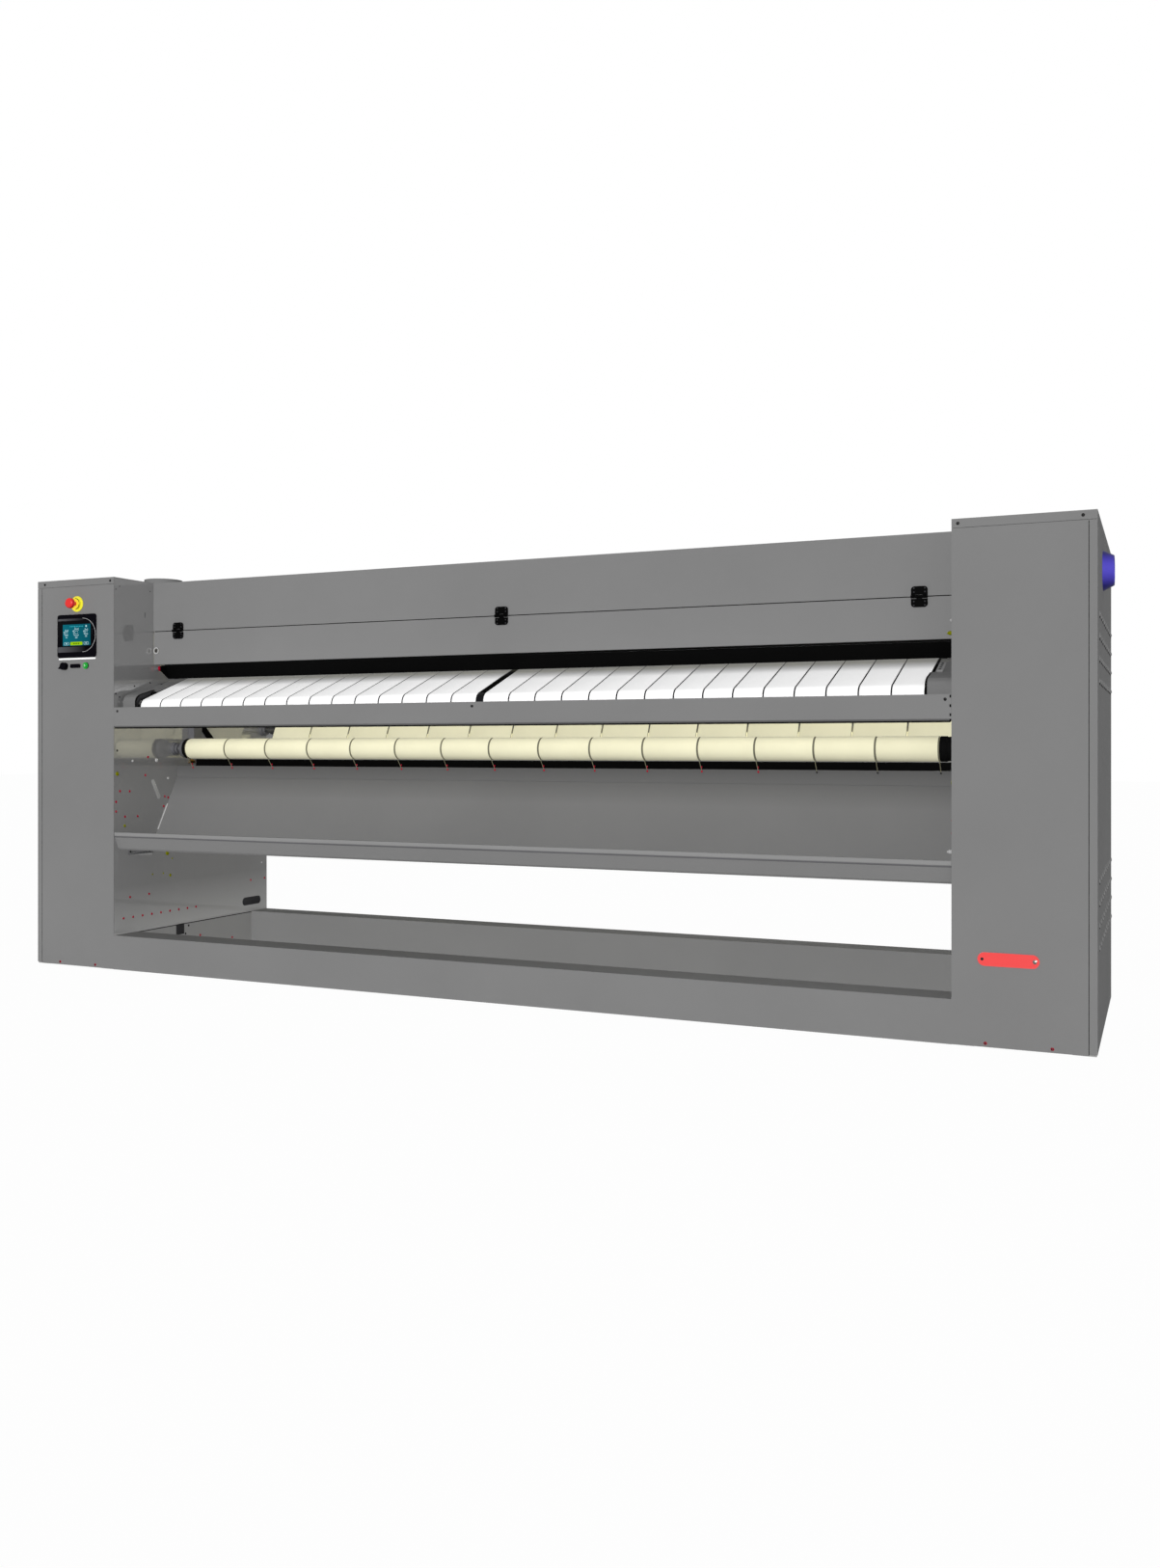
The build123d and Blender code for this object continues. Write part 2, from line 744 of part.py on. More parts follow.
with BuildPart() as gearmotor:
    box(
        gearmotor_x,
        (cylinder_at[0] - gear_half, cylinder_at[0] + gear_half),
        (cylinder_at[1] - gear_half, cylinder_at[1] + gear_half),
    )
    fillet(gearmotor.edges().filter_by(Axis.X), radius=20)
    gear_bore = journal_radius + bearing_clear
    disc((gearmotor_x[0] - 1, gearmotor_x[1] + 1), cylinder_at, gear_bore, Mode.SUBTRACT)
    with BuildSketch(level(cylinder_at[1] - gear_half)) as motor:
        with Locations((sum(gearmotor_x) / 2, cylinder_at[0])):
            Circle(motor_radius)
    extrude(motor.sketch, amount=-motor_length)
    for fin in range(motor_fins):
        with BuildSketch(level(cylinder_at[1] - gear_half - 40 - fin * motor_fin_pitch)) as cooling:
            with Locations((sum(gearmotor_x) / 2, cylinder_at[0])):
                Circle(motor_radius + 8)
        extrude(cooling.sketch, amount=-motor_fin_pitch / 3)
    box(
        (wall_x + wall_sheet, gearmotor_x[0]),
        (cylinder_at[0] - gear_half, cylinder_at[0] - gear_half + 30),
        (cylinder_at[1] - gear_half, cylinder_at[1] - gear_half + 8),
    )
save(gearmotor.part, "gearmotor")

# ---- rollers and their bearings ----

rollers = {
    "feed_front_roller": (feed_front_at, feed_front_radius, feed_roller_half),
    "feed_rear_roller": (feed_rear_at, feed_rear_radius, feed_roller_half),
    "nip_roller": (nip_at, small_roller, roller_half),
    "lower_rear_roller": (lower_rear_at, small_roller, roller_half),
    "upper_rear_roller": (upper_rear_at, small_roller, roller_half),
    "upper_front_roller": (upper_front_at, small_roller, roller_half),
    "return_front_roller": (return_front_at, return_front_radius, roller_half),
    "return_bend_roller": (return_bend_at, small_roller, roller_half),
    "return_upper_roller": (return_upper_at, small_roller, roller_half),
    "return_lower_roller": (return_lower_at, small_roller, roller_half),
}
for name, (centre, radius, shell_half) in rollers.items():
    save(roller_part(centre, radius, shell_half), name)

with BuildPart() as bearings:
    for centre, radius, shell_half in rollers.values():
        start = wall_x - flange_length
        disc((start, wall_x), centre, flange_radius)
        disc((start - boss_length, start), centre, boss_radius)
        disc((start - boss_length, wall_x), centre, shaft_radius + bearing_clear, Mode.SUBTRACT)
save(both(bearings.part), "roller_bearings")

# ---- ironing and return belts ----

return_pitch = 2 * belt_half / return_belt_count
return_width = return_pitch - return_belt_gap
belt_starts = [-belt_half + return_belt_gap / 2 + i * return_pitch for i in range(return_belt_count)]

ironing_pulleys = (
    (lower_rear_at, small_roller, 1),
    (upper_rear_at, small_roller, 1),
    (upper_front_at, small_roller, 1),
    (nip_at, small_roller, 1),
    (cylinder_at, cylinder_radius, -1),
)
save(spread(belt_part(ironing_pulleys, belt, return_width), belt_starts), "ironing_belts")

return_pulleys = (
    (return_front_at, return_front_radius, 1),
    (return_lower_at, small_roller, 1),
    (return_upper_at, small_roller, 1),
    (return_bend_at, small_roller, -1),
)
save(spread(belt_part(return_pulleys, belt, return_width), belt_starts), "return_belts")

# ---- strip cords, chute and trough ----

# Each cord runs from its hook round the front of the return roller, in the gap between two
# belts, and back along them to a rod.
cord_places = [-belt_half + i * return_pitch for i in range(return_belt_count + 1)]
cord_ring = return_front_radius + run_gap + cord_radius
cord_pulley = (*return_front_at, cord_ring, -1)
cord_first = tangent((*cord_start, 0, 1), cord_pulley)
cord_last = tangent(cord_pulley, (*anchor_at, anchor_radius + cord_radius, -1))

with BuildPart() as strip_cord:
    with BuildLine(side(0)) as cord_path:
        Line(*cord_first)
        wrap(cord_pulley, cord_first[1], cord_last[0])
        Line(*cord_last)
    with BuildSketch(Plane(origin=cord_path.line @ 0, z_dir=cord_path.line % 0)):
        Circle(cord_radius)
    sweep(path=cord_path.line)
with BuildPart() as strip_cords:
    add(spread(strip_cord.part, cord_places))
    disc((-panel_half, panel_half), anchor_at, anchor_radius)
save(strip_cords.part, "strip_cords")

chute_foot = (196, trough_height + 2 * sheet)
chute_knee = (228, trough_height + 59)
with BuildPart() as chute_panel:
    bent_sheet(
        [
            (chute_bend[0] + chute_lean + 14, chute_top),
            (chute_bend[0] + chute_lean, chute_top),
            chute_bend,
            chute_knee,
            chute_foot,
            (chute_foot[0] - 46, chute_foot[1]),
        ],
        sheet,
        (-panel_half, panel_half),
    )
save(chute_panel.part, "chute_panel")

with BuildPart() as linen_trough:
    bent_sheet(
        [
            (16, trough_lip),
            (3, trough_lip),
            (3, trough_lip - 13),
            (21, trough_height + 6),
            (27, trough_height),
            (chute_foot[0] + 16, trough_height),
        ],
        sheet,
        (-panel_half, panel_half),
    )
save(linen_trough.part, "linen_trough")


def strip_depth(height):
    """The depth of the chute's upper strip, which leans a little."""
    return chute_bend[0] + chute_lean * (height - chute_bend[1]) / (chute_top - chute_bend[1])


# A hook is a small plate on the chute's upper strip with a peg for the cord's end.
with BuildPart() as cord_hook:
    peg_height = cord_start[1] - cord_radius - hook_peg
    plate_ends = [(strip_depth(height), height) for height in (peg_height - 14, peg_height + 4)]
    bent_sheet(plate_ends, sheet, (-3, 3))
    stud(0, peg_height, (cord_start[0] - 6, strip_depth(peg_height) - sheet / 2), hook_peg)
save(spread(cord_hook.part, cord_places), "cord_hooks")

# ---- controls on the left cabinet ----

with BuildPart() as control_mouldings:
    with BuildSketch(front(0)) as bezel:
        with Locations((panel_x, bezel_height)):
            RectangleRounded(*bezel_size, 10)
        with Locations((panel_x, screen_height)):
            Rectangle(screen_size[0] + 2 * fit_gap, screen_size[1] + 2 * fit_gap, mode=Mode.SUBTRACT)
    extrude(bezel.sketch, amount=bezel_out)
    with BuildSketch(front(0)) as socket:
        with Locations((socket_x, control_height)):
            RectangleRounded(*socket_size, 6)
    extrude(socket.sketch, amount=bezel_out)
    stud(start_x, control_height, (-bezel_out, 0), start_collar)
    stud(start_x, control_height, (0, 12), start_collar - 2)
    stud(start_x, control_height, (-bezel_out, 12), start_radius + bearing_clear, Mode.SUBTRACT)
    stud(start_x, control_height, (12, 14), start_collar - 2)
save(control_mouldings.part, "control_mouldings")

with BuildPart() as display_screen:
    with BuildSketch(front(0)) as glass:
        with Locations((panel_x, screen_height)):
            Rectangle(*screen_size)
    extrude(glass.sketch, amount=bezel_out - 1)
    box(
        (panel_x - screen_back[0] / 2, panel_x + screen_back[0] / 2),
        (0, 28),
        (screen_height - screen_back[1] / 2, screen_height + screen_back[1] / 2),
    )
save(display_screen.part, "display_screen")

with BuildPart() as status_light_bar:
    with BuildSketch(front(0)) as bar:
        with Locations((panel_x, light_height)):
            RectangleRounded(*light_size, 2.9)
    extrude(bar.sketch, amount=1.5)
save(status_light_bar.part, "status_light_bar")

with BuildPart() as stop_collar:
    stud(panel_x, stop_height, (-3, 0), stop_ring)
    chamfer(stop_collar.edges().group_by(Axis.Y)[0], length=1)
    stud(panel_x, stop_height, (-12, -3), stop_ring - 9)
    stud(panel_x, stop_height, (0, stop_barrel_end), stop_barrel)
    stud(panel_x, stop_height, (-12, stop_barrel_end - sheet), stop_stem + bearing_clear, Mode.SUBTRACT)
save(stop_collar.part, "emergency_stop_collar")

with BuildPart() as stop_button:
    stud(panel_x, stop_height, (-stop_out, stop_neck - stop_out), stop_head)
    fillet(stop_button.edges().group_by(Axis.Y)[0], radius=7)
    fillet(stop_button.edges().group_by(Axis.Y)[-1], radius=2)
    stud(panel_x, stop_height, (stop_neck - stop_out, stop_barrel_end - 10), stop_stem)
save(stop_button.part, "emergency_stop_button")

with BuildPart() as selector_knob:
    stud(knob_x, control_height, (-18, -1), knob_radius)
    chamfer(selector_knob.edges().group_by(Axis.Y)[0], length=2)
    with BuildSketch(front(-3)) as pointer:
        with BuildLine():
            Polyline(
                (knob_x - 4, control_height + knob_radius - 1),
                (knob_x - knob_reach, control_height - 9),
                (knob_x + 2, control_height - knob_radius),
                close=True,
            )
        make_face()
    extrude(pointer.sketch, amount=10)
    stud(knob_x, control_height, (-1, 25), knob_stem)
save(selector_knob.part, "selector_knob")

with BuildPart() as start_button:
    stud(start_x, control_height, (-bezel_out - 3, 8), start_radius)
    chamfer(start_button.edges().group_by(Axis.Y)[0], length=1)
save(start_button.part, "start_button")

# ---- inside the left cabinet ----

with BuildPart() as electrical_box:
    box_x = (-wall_x - wall_sheet - electrical_size[0], -wall_x - wall_sheet)
    box_depth = (electrical_at[0], electrical_at[0] + electrical_size[1])
    box_height = (electrical_at[1], electrical_at[1] + electrical_size[2])
    box(box_x, box_depth, box_height)
    box(
        (box_x[0], box_x[1] - sheet),
        (box_depth[0] + sheet, box_depth[1] - sheet),
        (box_height[0] + sheet, box_height[1] - sheet),
        Mode.SUBTRACT,
    )
    box((box_x[0] - sheet, box_x[0]), box_depth, box_height)
save(electrical_box.part, "electrical_box")

with BuildPart() as exhaust_collar:
    with BuildSketch(level(body_height - 60)) as collar:
        with Locations(collar_at):
            Circle(collar_radius)
    extrude(collar.sketch, amount=collar_out + 60)
    with BuildSketch(level(body_height)) as collar_flange:
        with Locations(collar_at):
            Circle(collar_radius + 15)
    extrude(collar_flange.sketch, amount=sheet)
    with BuildSketch(level(body_height - 60)) as collar_bore:
        with Locations(collar_at):
            Circle(collar_radius - sheet)
    extrude(collar_bore.sketch, amount=collar_out + 60, mode=Mode.SUBTRACT)
save(exhaust_collar.part, "exhaust_collar")

# ---- exhaust fan in the right cabinet ----

with BuildPart() as fan_housing:
    fan_x = (wall_x + wall_sheet, half_width - sheet)
    disc(fan_x, fan_at, fan_inner + fan_wall)
    disc((fan_x[0], fan_x[0] + fan_wall), fan_at, fan_inner + fan_wall + 8)
    disc(fan_x, fan_at, fan_inner, Mode.SUBTRACT)
    disc(pod_x, fan_at, fan_pod)
    with BuildSketch(side(pod_x[0] + 20)) as vanes:
        with Locations(fan_at):
            with PolarLocations(0, 3):
                with Locations(((fan_pod + fan_inner) / 2, 0)):
                    Rectangle(fan_inner - fan_pod + 4, 4)
    extrude(vanes.sketch, amount=40)
    disc((pod_x[0], pod_x[0] + 30), fan_at, fan_shaft + bearing_clear, Mode.SUBTRACT)
save(fan_housing.part, "fan_housing")

with BuildPart() as fan_impeller:
    disc((pod_x[0] - 50, pod_x[0] - 1), fan_at, fan_pod)
    fillet(fan_impeller.edges().group_by(Axis.X)[0], radius=10)
    disc((pod_x[0] - 1, pod_x[0] + 28), fan_at, fan_shaft)
    with BuildSketch(side(pod_x[0] - 36)) as blades:
        with Locations(fan_at):
            with PolarLocations(0, fan_blades):
                with Locations(((fan_pod + fan_tip) / 2 - 1, 0)):
                    Rectangle(fan_tip - fan_pod + 2, 5)
    extrude(blades.sketch, amount=30)
save(fan_impeller.part, "fan_impeller")

with BuildPart() as duct_spigot:
    with BuildSketch(side(half_width)) as root_ring:
        with Locations(fan_at):
            Circle(spigot_radius[0])
    with BuildSketch(side(half_width + spigot_out)) as tip_ring:
        with Locations(fan_at):
            Circle(spigot_radius[1])
    loft([root_ring.sketch.face(), tip_ring.sketch.face()])
    disc((half_width, half_width + spigot_out), fan_at, spigot_bore, Mode.SUBTRACT)
save(duct_spigot.part, "duct_spigot")

# ---- cover plate and screws ----

with BuildPart() as slot_cover_plate:
    with BuildSketch(front(0)) as plate:
        with Locations(slot_plate_at):
            SlotOverall(*slot_plate_size)
    extrude(plate.sketch, amount=sheet)
save(slot_cover_plate.part, "slot_cover_plate")


def screw(x, height, radius=screw_radius, face=0):
    """A domed head on a face that looks forward, at a depth."""
    with BuildSketch(front(face)) as head:
        with Locations((x, height)):
            Circle(radius)
    extrude(head.sketch, amount=screw_head, taper=30)


with BuildPart() as wall_screws:
    high_places = [(depth, cylinder_height + rise) for depth, rise in high_wall_screws]
    with BuildSketch(side(wall_x)) as heads:
        with Locations(*low_wall_screws, *high_places):
            Circle(screw_radius)
    extrude(heads.sketch, amount=-screw_head, taper=30)

with BuildPart() as panel_screws:
    add(both(wall_screws.part))
    for x in (wall_x + 17, half_width - 36):
        screw(x, body_height - 13)
        screw(-x, body_height - 13)
    for x in (wall_x + 90, half_width - 113):
        screw(x, 11)
        screw(-x, 11)
    for x in (-wall_x + 17, 0, wall_x - 17):
        screw(x, beam_top - 14)
    for x in (-1, 1):
        screw(slot_plate_at[0] + x * (slot_plate_size[0] / 2 - 12), slot_plate_at[1], face=-sheet)
save(panel_screws.part, "panel_screws")
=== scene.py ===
import math

import bmesh
import bpy
import numpy as np
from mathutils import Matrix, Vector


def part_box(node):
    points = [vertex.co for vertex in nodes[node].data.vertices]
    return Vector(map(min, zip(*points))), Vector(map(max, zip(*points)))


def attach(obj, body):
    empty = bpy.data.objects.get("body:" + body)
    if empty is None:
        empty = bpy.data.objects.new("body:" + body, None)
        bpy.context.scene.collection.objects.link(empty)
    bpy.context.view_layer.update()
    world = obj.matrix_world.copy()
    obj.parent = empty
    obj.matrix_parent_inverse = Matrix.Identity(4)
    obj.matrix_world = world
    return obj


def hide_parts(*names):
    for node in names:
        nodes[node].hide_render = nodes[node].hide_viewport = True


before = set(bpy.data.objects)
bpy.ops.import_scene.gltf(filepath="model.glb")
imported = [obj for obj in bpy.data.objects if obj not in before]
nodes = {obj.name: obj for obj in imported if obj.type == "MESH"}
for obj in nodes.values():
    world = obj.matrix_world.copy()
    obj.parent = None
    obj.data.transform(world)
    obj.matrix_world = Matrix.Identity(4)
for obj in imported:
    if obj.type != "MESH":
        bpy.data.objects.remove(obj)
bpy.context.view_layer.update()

# A flatwork ironer, dressed around its CAD frame. Metres; +X to the right, +Y to the back, +Z up.

mm = 0.001


def corner(node):
    # Lowest and highest corner of a CAD node, as arrays
    low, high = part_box(node)
    return np.array(low), np.array(high)


def middleOf(node, axis):
    # The middle of a CAD node's box along x, y or z, which are 0, 1 and 2
    low, high = corner(node)
    return (low[axis] + high[axis]) / 2


# ---- sizes, from the frame ----

sizes = {  # millimetres, but for the first two, which are metres
    "middle": middleOf("base_beams", 0),
    "front": corner("left_front_cover")[0][1],
    "wallX": (corner("base_beams")[1][0] - corner("base_beams")[0][0]) / 2 / mm,
    "axisHeight": middleOf("heated_cylinder", 2) / mm,
    "top": corner("cabinet_top_covers")[1][2] / mm,
}
sizes["halfWidth"] = (corner("cabinet_top_covers")[1][0] - sizes["middle"]) / mm
wallX, halfWidth, top, axisHeight = [sizes[name] for name in ("wallX", "halfWidth", "top", "axisHeight")]

beltPlan = {"margin": 80, "runGap": 0.3, "feedGap": 3, "feedMiddle": 24, "feedCount": 15, "wideGap": 4,
            "wideCount": 15}
beltEnd = wallX - beltPlan["margin"]
widePitch = 2 * beltEnd / beltPlan["wideCount"]
feedPitch = (beltEnd - beltPlan["feedMiddle"] / 2) / beltPlan["feedCount"]
wideWidth = widePitch - beltPlan["wideGap"]
feedWidth = feedPitch - beltPlan["feedGap"]

# ---- camera, lights and room ----

camera = {
    "place": (2.0375, -4.1619, 0.8197),
    "turn": 24.091,           # degrees to the left of straight ahead
    "focalPixels": 1364.05,   # of the 1203 x 1626 photograph
    "horizonPixel": 775.04,
    "frameHeight": 1626,
    "sensor": 36.0,
    "clipEnd": 60,
}
room = {
    "skyLevel": 0.33,
    "floorSize": 60.0,
    "floorColour": "#F2F2F2",
    "floorGlow": 0.975,       # how much of the floor shows as plain white
    "mirrorLevel": 0.2,       # how bright the floor is in reflections
    # the photograph's light comes from the front and throws no shadows
    "keyLight": {"strength": 2.02, "softness": 12, "turn": (80, 0, 18), "shadow": False},
    "backLight": {"strength": 1.1, "softness": 20, "turn": (85, 0, -165), "shadow": False},
}


def makeCamera():
    data = bpy.data.cameras.new("photoCamera")
    eye = bpy.data.objects.new("photoCamera", data)
    bpy.context.scene.collection.objects.link(eye)
    data.sensor_width = camera["sensor"]
    data.lens = camera["focalPixels"] / camera["frameHeight"] * camera["sensor"]
    data.shift_y = (camera["horizonPixel"] - camera["frameHeight"] / 2) / camera["frameHeight"]
    data.clip_end = camera["clipEnd"]
    eye.location = camera["place"]
    eye.rotation_euler = (math.radians(90), 0, math.radians(camera["turn"]))
    bpy.context.scene.camera = eye


makeCamera()
bpy.context.scene.view_settings.view_transform = "Standard"


def linear(hexColour):
    # sRGB hex to linear RGBA
    parts = np.array([int(hexColour[i:i + 2], 16) for i in (1, 3, 5)]) / 255
    low, high = parts / 12.92, ((parts + 0.055) / 1.055) ** 2.4
    return (*np.where(parts <= 0.04045, low, high), 1.0)


def addNode(tree, kind, settings=None, links=None):
    # Adds a shader node, sets its settings and sockets, and links sockets to other nodes' outputs
    made = tree.nodes.new("ShaderNode" + kind)
    for key, value in (settings or {}).items():
        if isinstance(key, int) or key in made.inputs:
            made.inputs[key].default_value = value
        else:
            setattr(made, key, value)
    for key, (source, output) in (links or {}).items():
        tree.links.new(source.outputs[output], made.inputs[key])
    return made


def spread(tree, source, low, high):
    # A pattern's 0 to 1 mapped to low to high
    return addNode(tree, "MapRange", {"To Min": low, "To Max": high}, {0: (source, 0)})


def cameraSees(tree):
    # 1 for rays that show the white room: from the camera, straight or through glass
    path = addNode(tree, "LightPath")
    seen = addNode(tree, "Math", {"operation": "MAXIMUM"},
                   {0: (path, "Is Camera Ray"), 1: (path, "Is Transmission Ray")})
    return path, seen


def makeSky():
    world = bpy.data.worlds.new("studioSky")
    bpy.context.scene.world = world
    world.use_nodes = True
    tree = world.node_tree
    tree.nodes.clear()
    path, seen = cameraSees(tree)
    white = linear("#FFFFFF")
    light = addNode(tree, "Background", {"Color": white, "Strength": room["skyLevel"]})
    shown = addNode(tree, "Background", {"Color": white, "Strength": 1.0})
    mixed = addNode(tree, "MixShader", {}, {0: (seen, 0), 1: (light, 0), 2: (shown, 0)})
    addNode(tree, "OutputWorld", {}, {0: (mixed, 0)})


def makeFloor():
    half = room["floorSize"] / 2
    mesh = bpy.data.meshes.new("floor")
    corners = [(-half, -half, 0), (half, -half, 0), (half, half, 0), (-half, half, 0)]
    mesh.from_pydata(corners, [], [(0, 1, 2, 3)])
    floor = bpy.data.objects.new("floor", mesh)
    bpy.context.scene.collection.objects.link(floor)
    paint = bpy.data.materials.new("paleFloorPaint")
    paint.use_nodes = True
    tree = paint.node_tree
    tree.nodes.clear()
    path, seen = cameraSees(tree)
    matt = addNode(tree, "BsdfDiffuse", {"Color": linear(room["floorColour"])})
    level = spread(tree, seen, room["mirrorLevel"], 1.0)
    glow = addNode(tree, "Emission", {"Color": linear("#FFFFFF")}, {"Strength": (level, 0)})
    shown = addNode(tree, "Math", {"operation": "MAXIMUM"},
                    {0: (seen, 0), 1: (path, "Is Glossy Ray")})
    share = addNode(tree, "Math", {"operation": "MULTIPLY", 1: room["floorGlow"]}, {0: (shown, 0)})
    mixed = addNode(tree, "MixShader", {}, {0: (share, 0), 1: (matt, 0), 2: (glow, 0)})
    addNode(tree, "OutputMaterial", {}, {0: (mixed, 0)})
    mesh.materials.append(paint)


def makeSun(name, values):
    data = bpy.data.lights.new(name, "SUN")
    data.energy = values["strength"]
    data.angle = math.radians(values["softness"])
    data.use_shadow = values["shadow"]
    lamp = bpy.data.objects.new(name, data)
    bpy.context.scene.collection.objects.link(lamp)
    lamp.rotation_euler = [math.radians(angle) for angle in values["turn"]]


makeSky()
makeFloor()
for lightName in ("keyLight", "backLight"):
    makeSun(lightName, room[lightName])
print("room ready")

# ---- materials ----
# Pattern sizes and bump depths are in metres. "shine" is how far the roughness wanders.

coat = {"patch": 0.45, "shinePatch": 0.06, "shine": 0.1, "depth": 0.0001, "bump": 0.06}
mould = {"shine": 0.06, "depth": 0.00015, "bump": 0.15, "coarse": 0.003, "ior": 1.49, "flat": 0.02}
plating = {"shine": 0.08, "depth": 0.0001, "bump": 0.1}
cloth = {"ior": 1.45, "sheenRough": 0.5, "specular": 0.2, "wave": 0.314, "bend": 0.4, "stains": 9.0,
         "depth": 0.0003, "bump": 0.2}
display = {"off": "#050505", "grain": 0.0008, "rough": 0.4, "ior": 1.1, "printIor": 1.15}


def newMaterial(name, shader):
    # A material with one Principled shader, whose fixed values are set on its own sockets
    material = bpy.data.materials.new(name)
    material.use_nodes = True
    tree = material.node_tree
    tree.nodes.clear()
    base = addNode(tree, "BsdfPrincipled", shader)
    addNode(tree, "OutputMaterial", {}, {"Surface": (base, 0)})
    return material, tree, base


def objectPlace(tree):
    # Object coordinates, split into X, Y and Z
    place = addNode(tree, "TexCoord")
    return addNode(tree, "SeparateXYZ", {}, {0: (place, "Object")})


def noiseOn(tree, size, detail=3.0, stretch=(1, 1, 1)):
    # Noise on object coordinates whose grains are about size metres; stretch lengthens them
    place = addNode(tree, "TexCoord")
    scaled = addNode(tree, "Mapping", {"Scale": [1 / part for part in stretch]},
                     {0: (place, "Object")})
    return addNode(tree, "TexNoise", {"Scale": 1 / size, "Detail": detail}, {0: (scaled, 0)})


def tint(tree, source, colours, low=0.3, high=0.7):
    # A colour ramp from low to high of a pattern
    ramp = addNode(tree, "ValToRGB", {}, {0: (source, 0)})
    for element, position, colour in zip(ramp.color_ramp.elements, (low, high), colours):
        element.position = position
        element.color = linear(colour)
    return ramp


def grain(tree, base, source, values):
    # A bump of a real depth
    bump = addNode(tree, "Bump", {"Distance": values["depth"], "Strength": values["bump"]},
                   {"Height": (source, 0)})
    tree.links.new(bump.outputs[0], base.inputs["Normal"])


def powderCoat(name, dark, light, rough, peel=0.0035, ior=1.5, settings=None):
    # Polyester powder coat, sprayed and baked: even colour, faint orange peel. The matt ones
    # hardly shine even at a grazing view, which a low IOR gives. Real peel is 1 to 2 mm and is
    # drawn coarser to show
    material, tree, base = newMaterial(name, {"IOR": ior, **(settings or {})})
    colour = tint(tree, noiseOn(tree, coat["patch"], detail=4.0), (dark, light))
    tree.links.new(colour.outputs[0], base.inputs["Base Color"])
    low, high = rough * (1 - coat["shine"]), rough * (1 + coat["shine"])
    shine = spread(tree, noiseOn(tree, coat["shinePatch"]), low, high)
    tree.links.new(shine.outputs[0], base.inputs["Roughness"])
    grain(tree, base, noiseOn(tree, peel, detail=2.0), coat)
    return material


def paintedShading(material, colour, axis, start, end):
    # Painted light and shade on a surface: its colour goes over to another along an axis, from start to end
    tree = material.node_tree
    base = next(node for node in tree.nodes if node.type == "BSDF_PRINCIPLED")
    own = base.inputs["Base Color"].links[0].from_socket
    share = addNode(tree, "MapRange", {"From Min": start, "From Max": end},
                    {0: (objectPlace(tree), axis)})
    mixed = addNode(tree, "Mix", {"data_type": "RGBA"}, {0: (share, 0)})
    tree.links.new(own, mixed.inputs[6])
    mixed.inputs[7].default_value = linear(colour)
    for socket in ("Base Color", "Emission Color"):
        if base.inputs[socket].links:
            tree.links.new(mixed.outputs[2], base.inputs[socket])
    return material


def plastic(name, hexColour, rough, texture=0.0015, ior=1.5, settings=None):
    # Moulded ABS or nylon: one colour, spark-eroded grain of about a millimetre
    fixed = {"IOR": ior, "Base Color": linear(hexColour), **(settings or {})}
    material, tree, base = newMaterial(name, fixed)
    speckle = noiseOn(tree, texture, detail=2.0)
    shine = spread(tree, speckle, rough - mould["shine"], rough + mould["shine"])
    tree.links.new(shine.outputs[0], base.inputs["Roughness"])
    grain(tree, base, speckle, mould)
    return material


def metal(name, dark, light, rough, stretch=(1, 1, 1), size=0.004):
    # Bare or plated metal: full metallic, with the marks of its making along one way
    material, tree, base = newMaterial(name, {"Metallic": 1.0})
    marks = noiseOn(tree, size, 4.0, stretch)
    colour = tint(tree, marks, (dark, light))
    tree.links.new(colour.outputs[0], base.inputs["Base Color"])
    shine = spread(tree, marks, rough - plating["shine"], rough + plating["shine"])
    tree.links.new(shine.outputs[0], base.inputs["Roughness"])
    grain(tree, base, marks, plating)
    return material


def wovenBelt(name, width, weave):
    # Woven aramid or polyester belt: threads both ways on its own map, soft sheen and cloudy stains.
    # Its edges are darker as painted shade in the gaps between belts, and its faint glow is painted
    # light that brightens it where the lamps don't reach. A wave texture of scale 1 repeats every
    # 0.314, so one wave is one thread
    material, tree, base = newMaterial(name, {
        "IOR": cloth["ior"], "Sheen Weight": weave["sheen"], "Sheen Roughness": cloth["sheenRough"],
        "Roughness": weave["rough"], "Specular IOR Level": cloth["specular"],
        "Emission Strength": weave["glow"]})
    place = addNode(tree, "UVMap", {"uv_map": "weave"})
    bands = {"wave_type": "BANDS", "Scale": cloth["wave"] / weave["thread"], "Distortion": cloth["bend"]}
    threads = [addNode(tree, "TexWave", {**bands, "bands_direction": way}, {"Vector": (place, 0)})
               for way in ("X", "Y")]
    crossed = addNode(tree, "Math", {"operation": "MULTIPLY"},
                      {0: (threads[0], "Fac"), 1: (threads[1], "Fac")})
    stains = addNode(tree, "TexNoise", {"Scale": cloth["stains"], "Detail": 4.0},
                     {"Vector": (place, 0)})
    colour = tint(tree, stains, (weave["dark"], weave["light"]), 0.25, 0.75)
    parts = addNode(tree, "SeparateXYZ", {}, {0: (place, 0)})
    fromMiddle = addNode(tree, "Math", {"operation": "SUBTRACT", 1: width / 2}, {0: (parts, "Y")})
    reach = addNode(tree, "Math", {"operation": "ABSOLUTE"}, {0: (fromMiddle, 0)})
    gapShaded = addNode(tree, "Math", {"operation": "GREATER_THAN", 1: width / 2 - weave["edge"]},
                     {0: (reach, 0)})
    mixed = addNode(tree, "Mix", {"data_type": "RGBA"}, {0: (gapShaded, 0), 6: (colour, 0)})
    mixed.inputs[7].default_value = linear(weave["gapShadeColour"])
    tree.links.new(mixed.outputs[2], base.inputs["Base Color"])
    tree.links.new(mixed.outputs[2], base.inputs["Emission Color"])
    grain(tree, base, crossed, cloth)
    return material


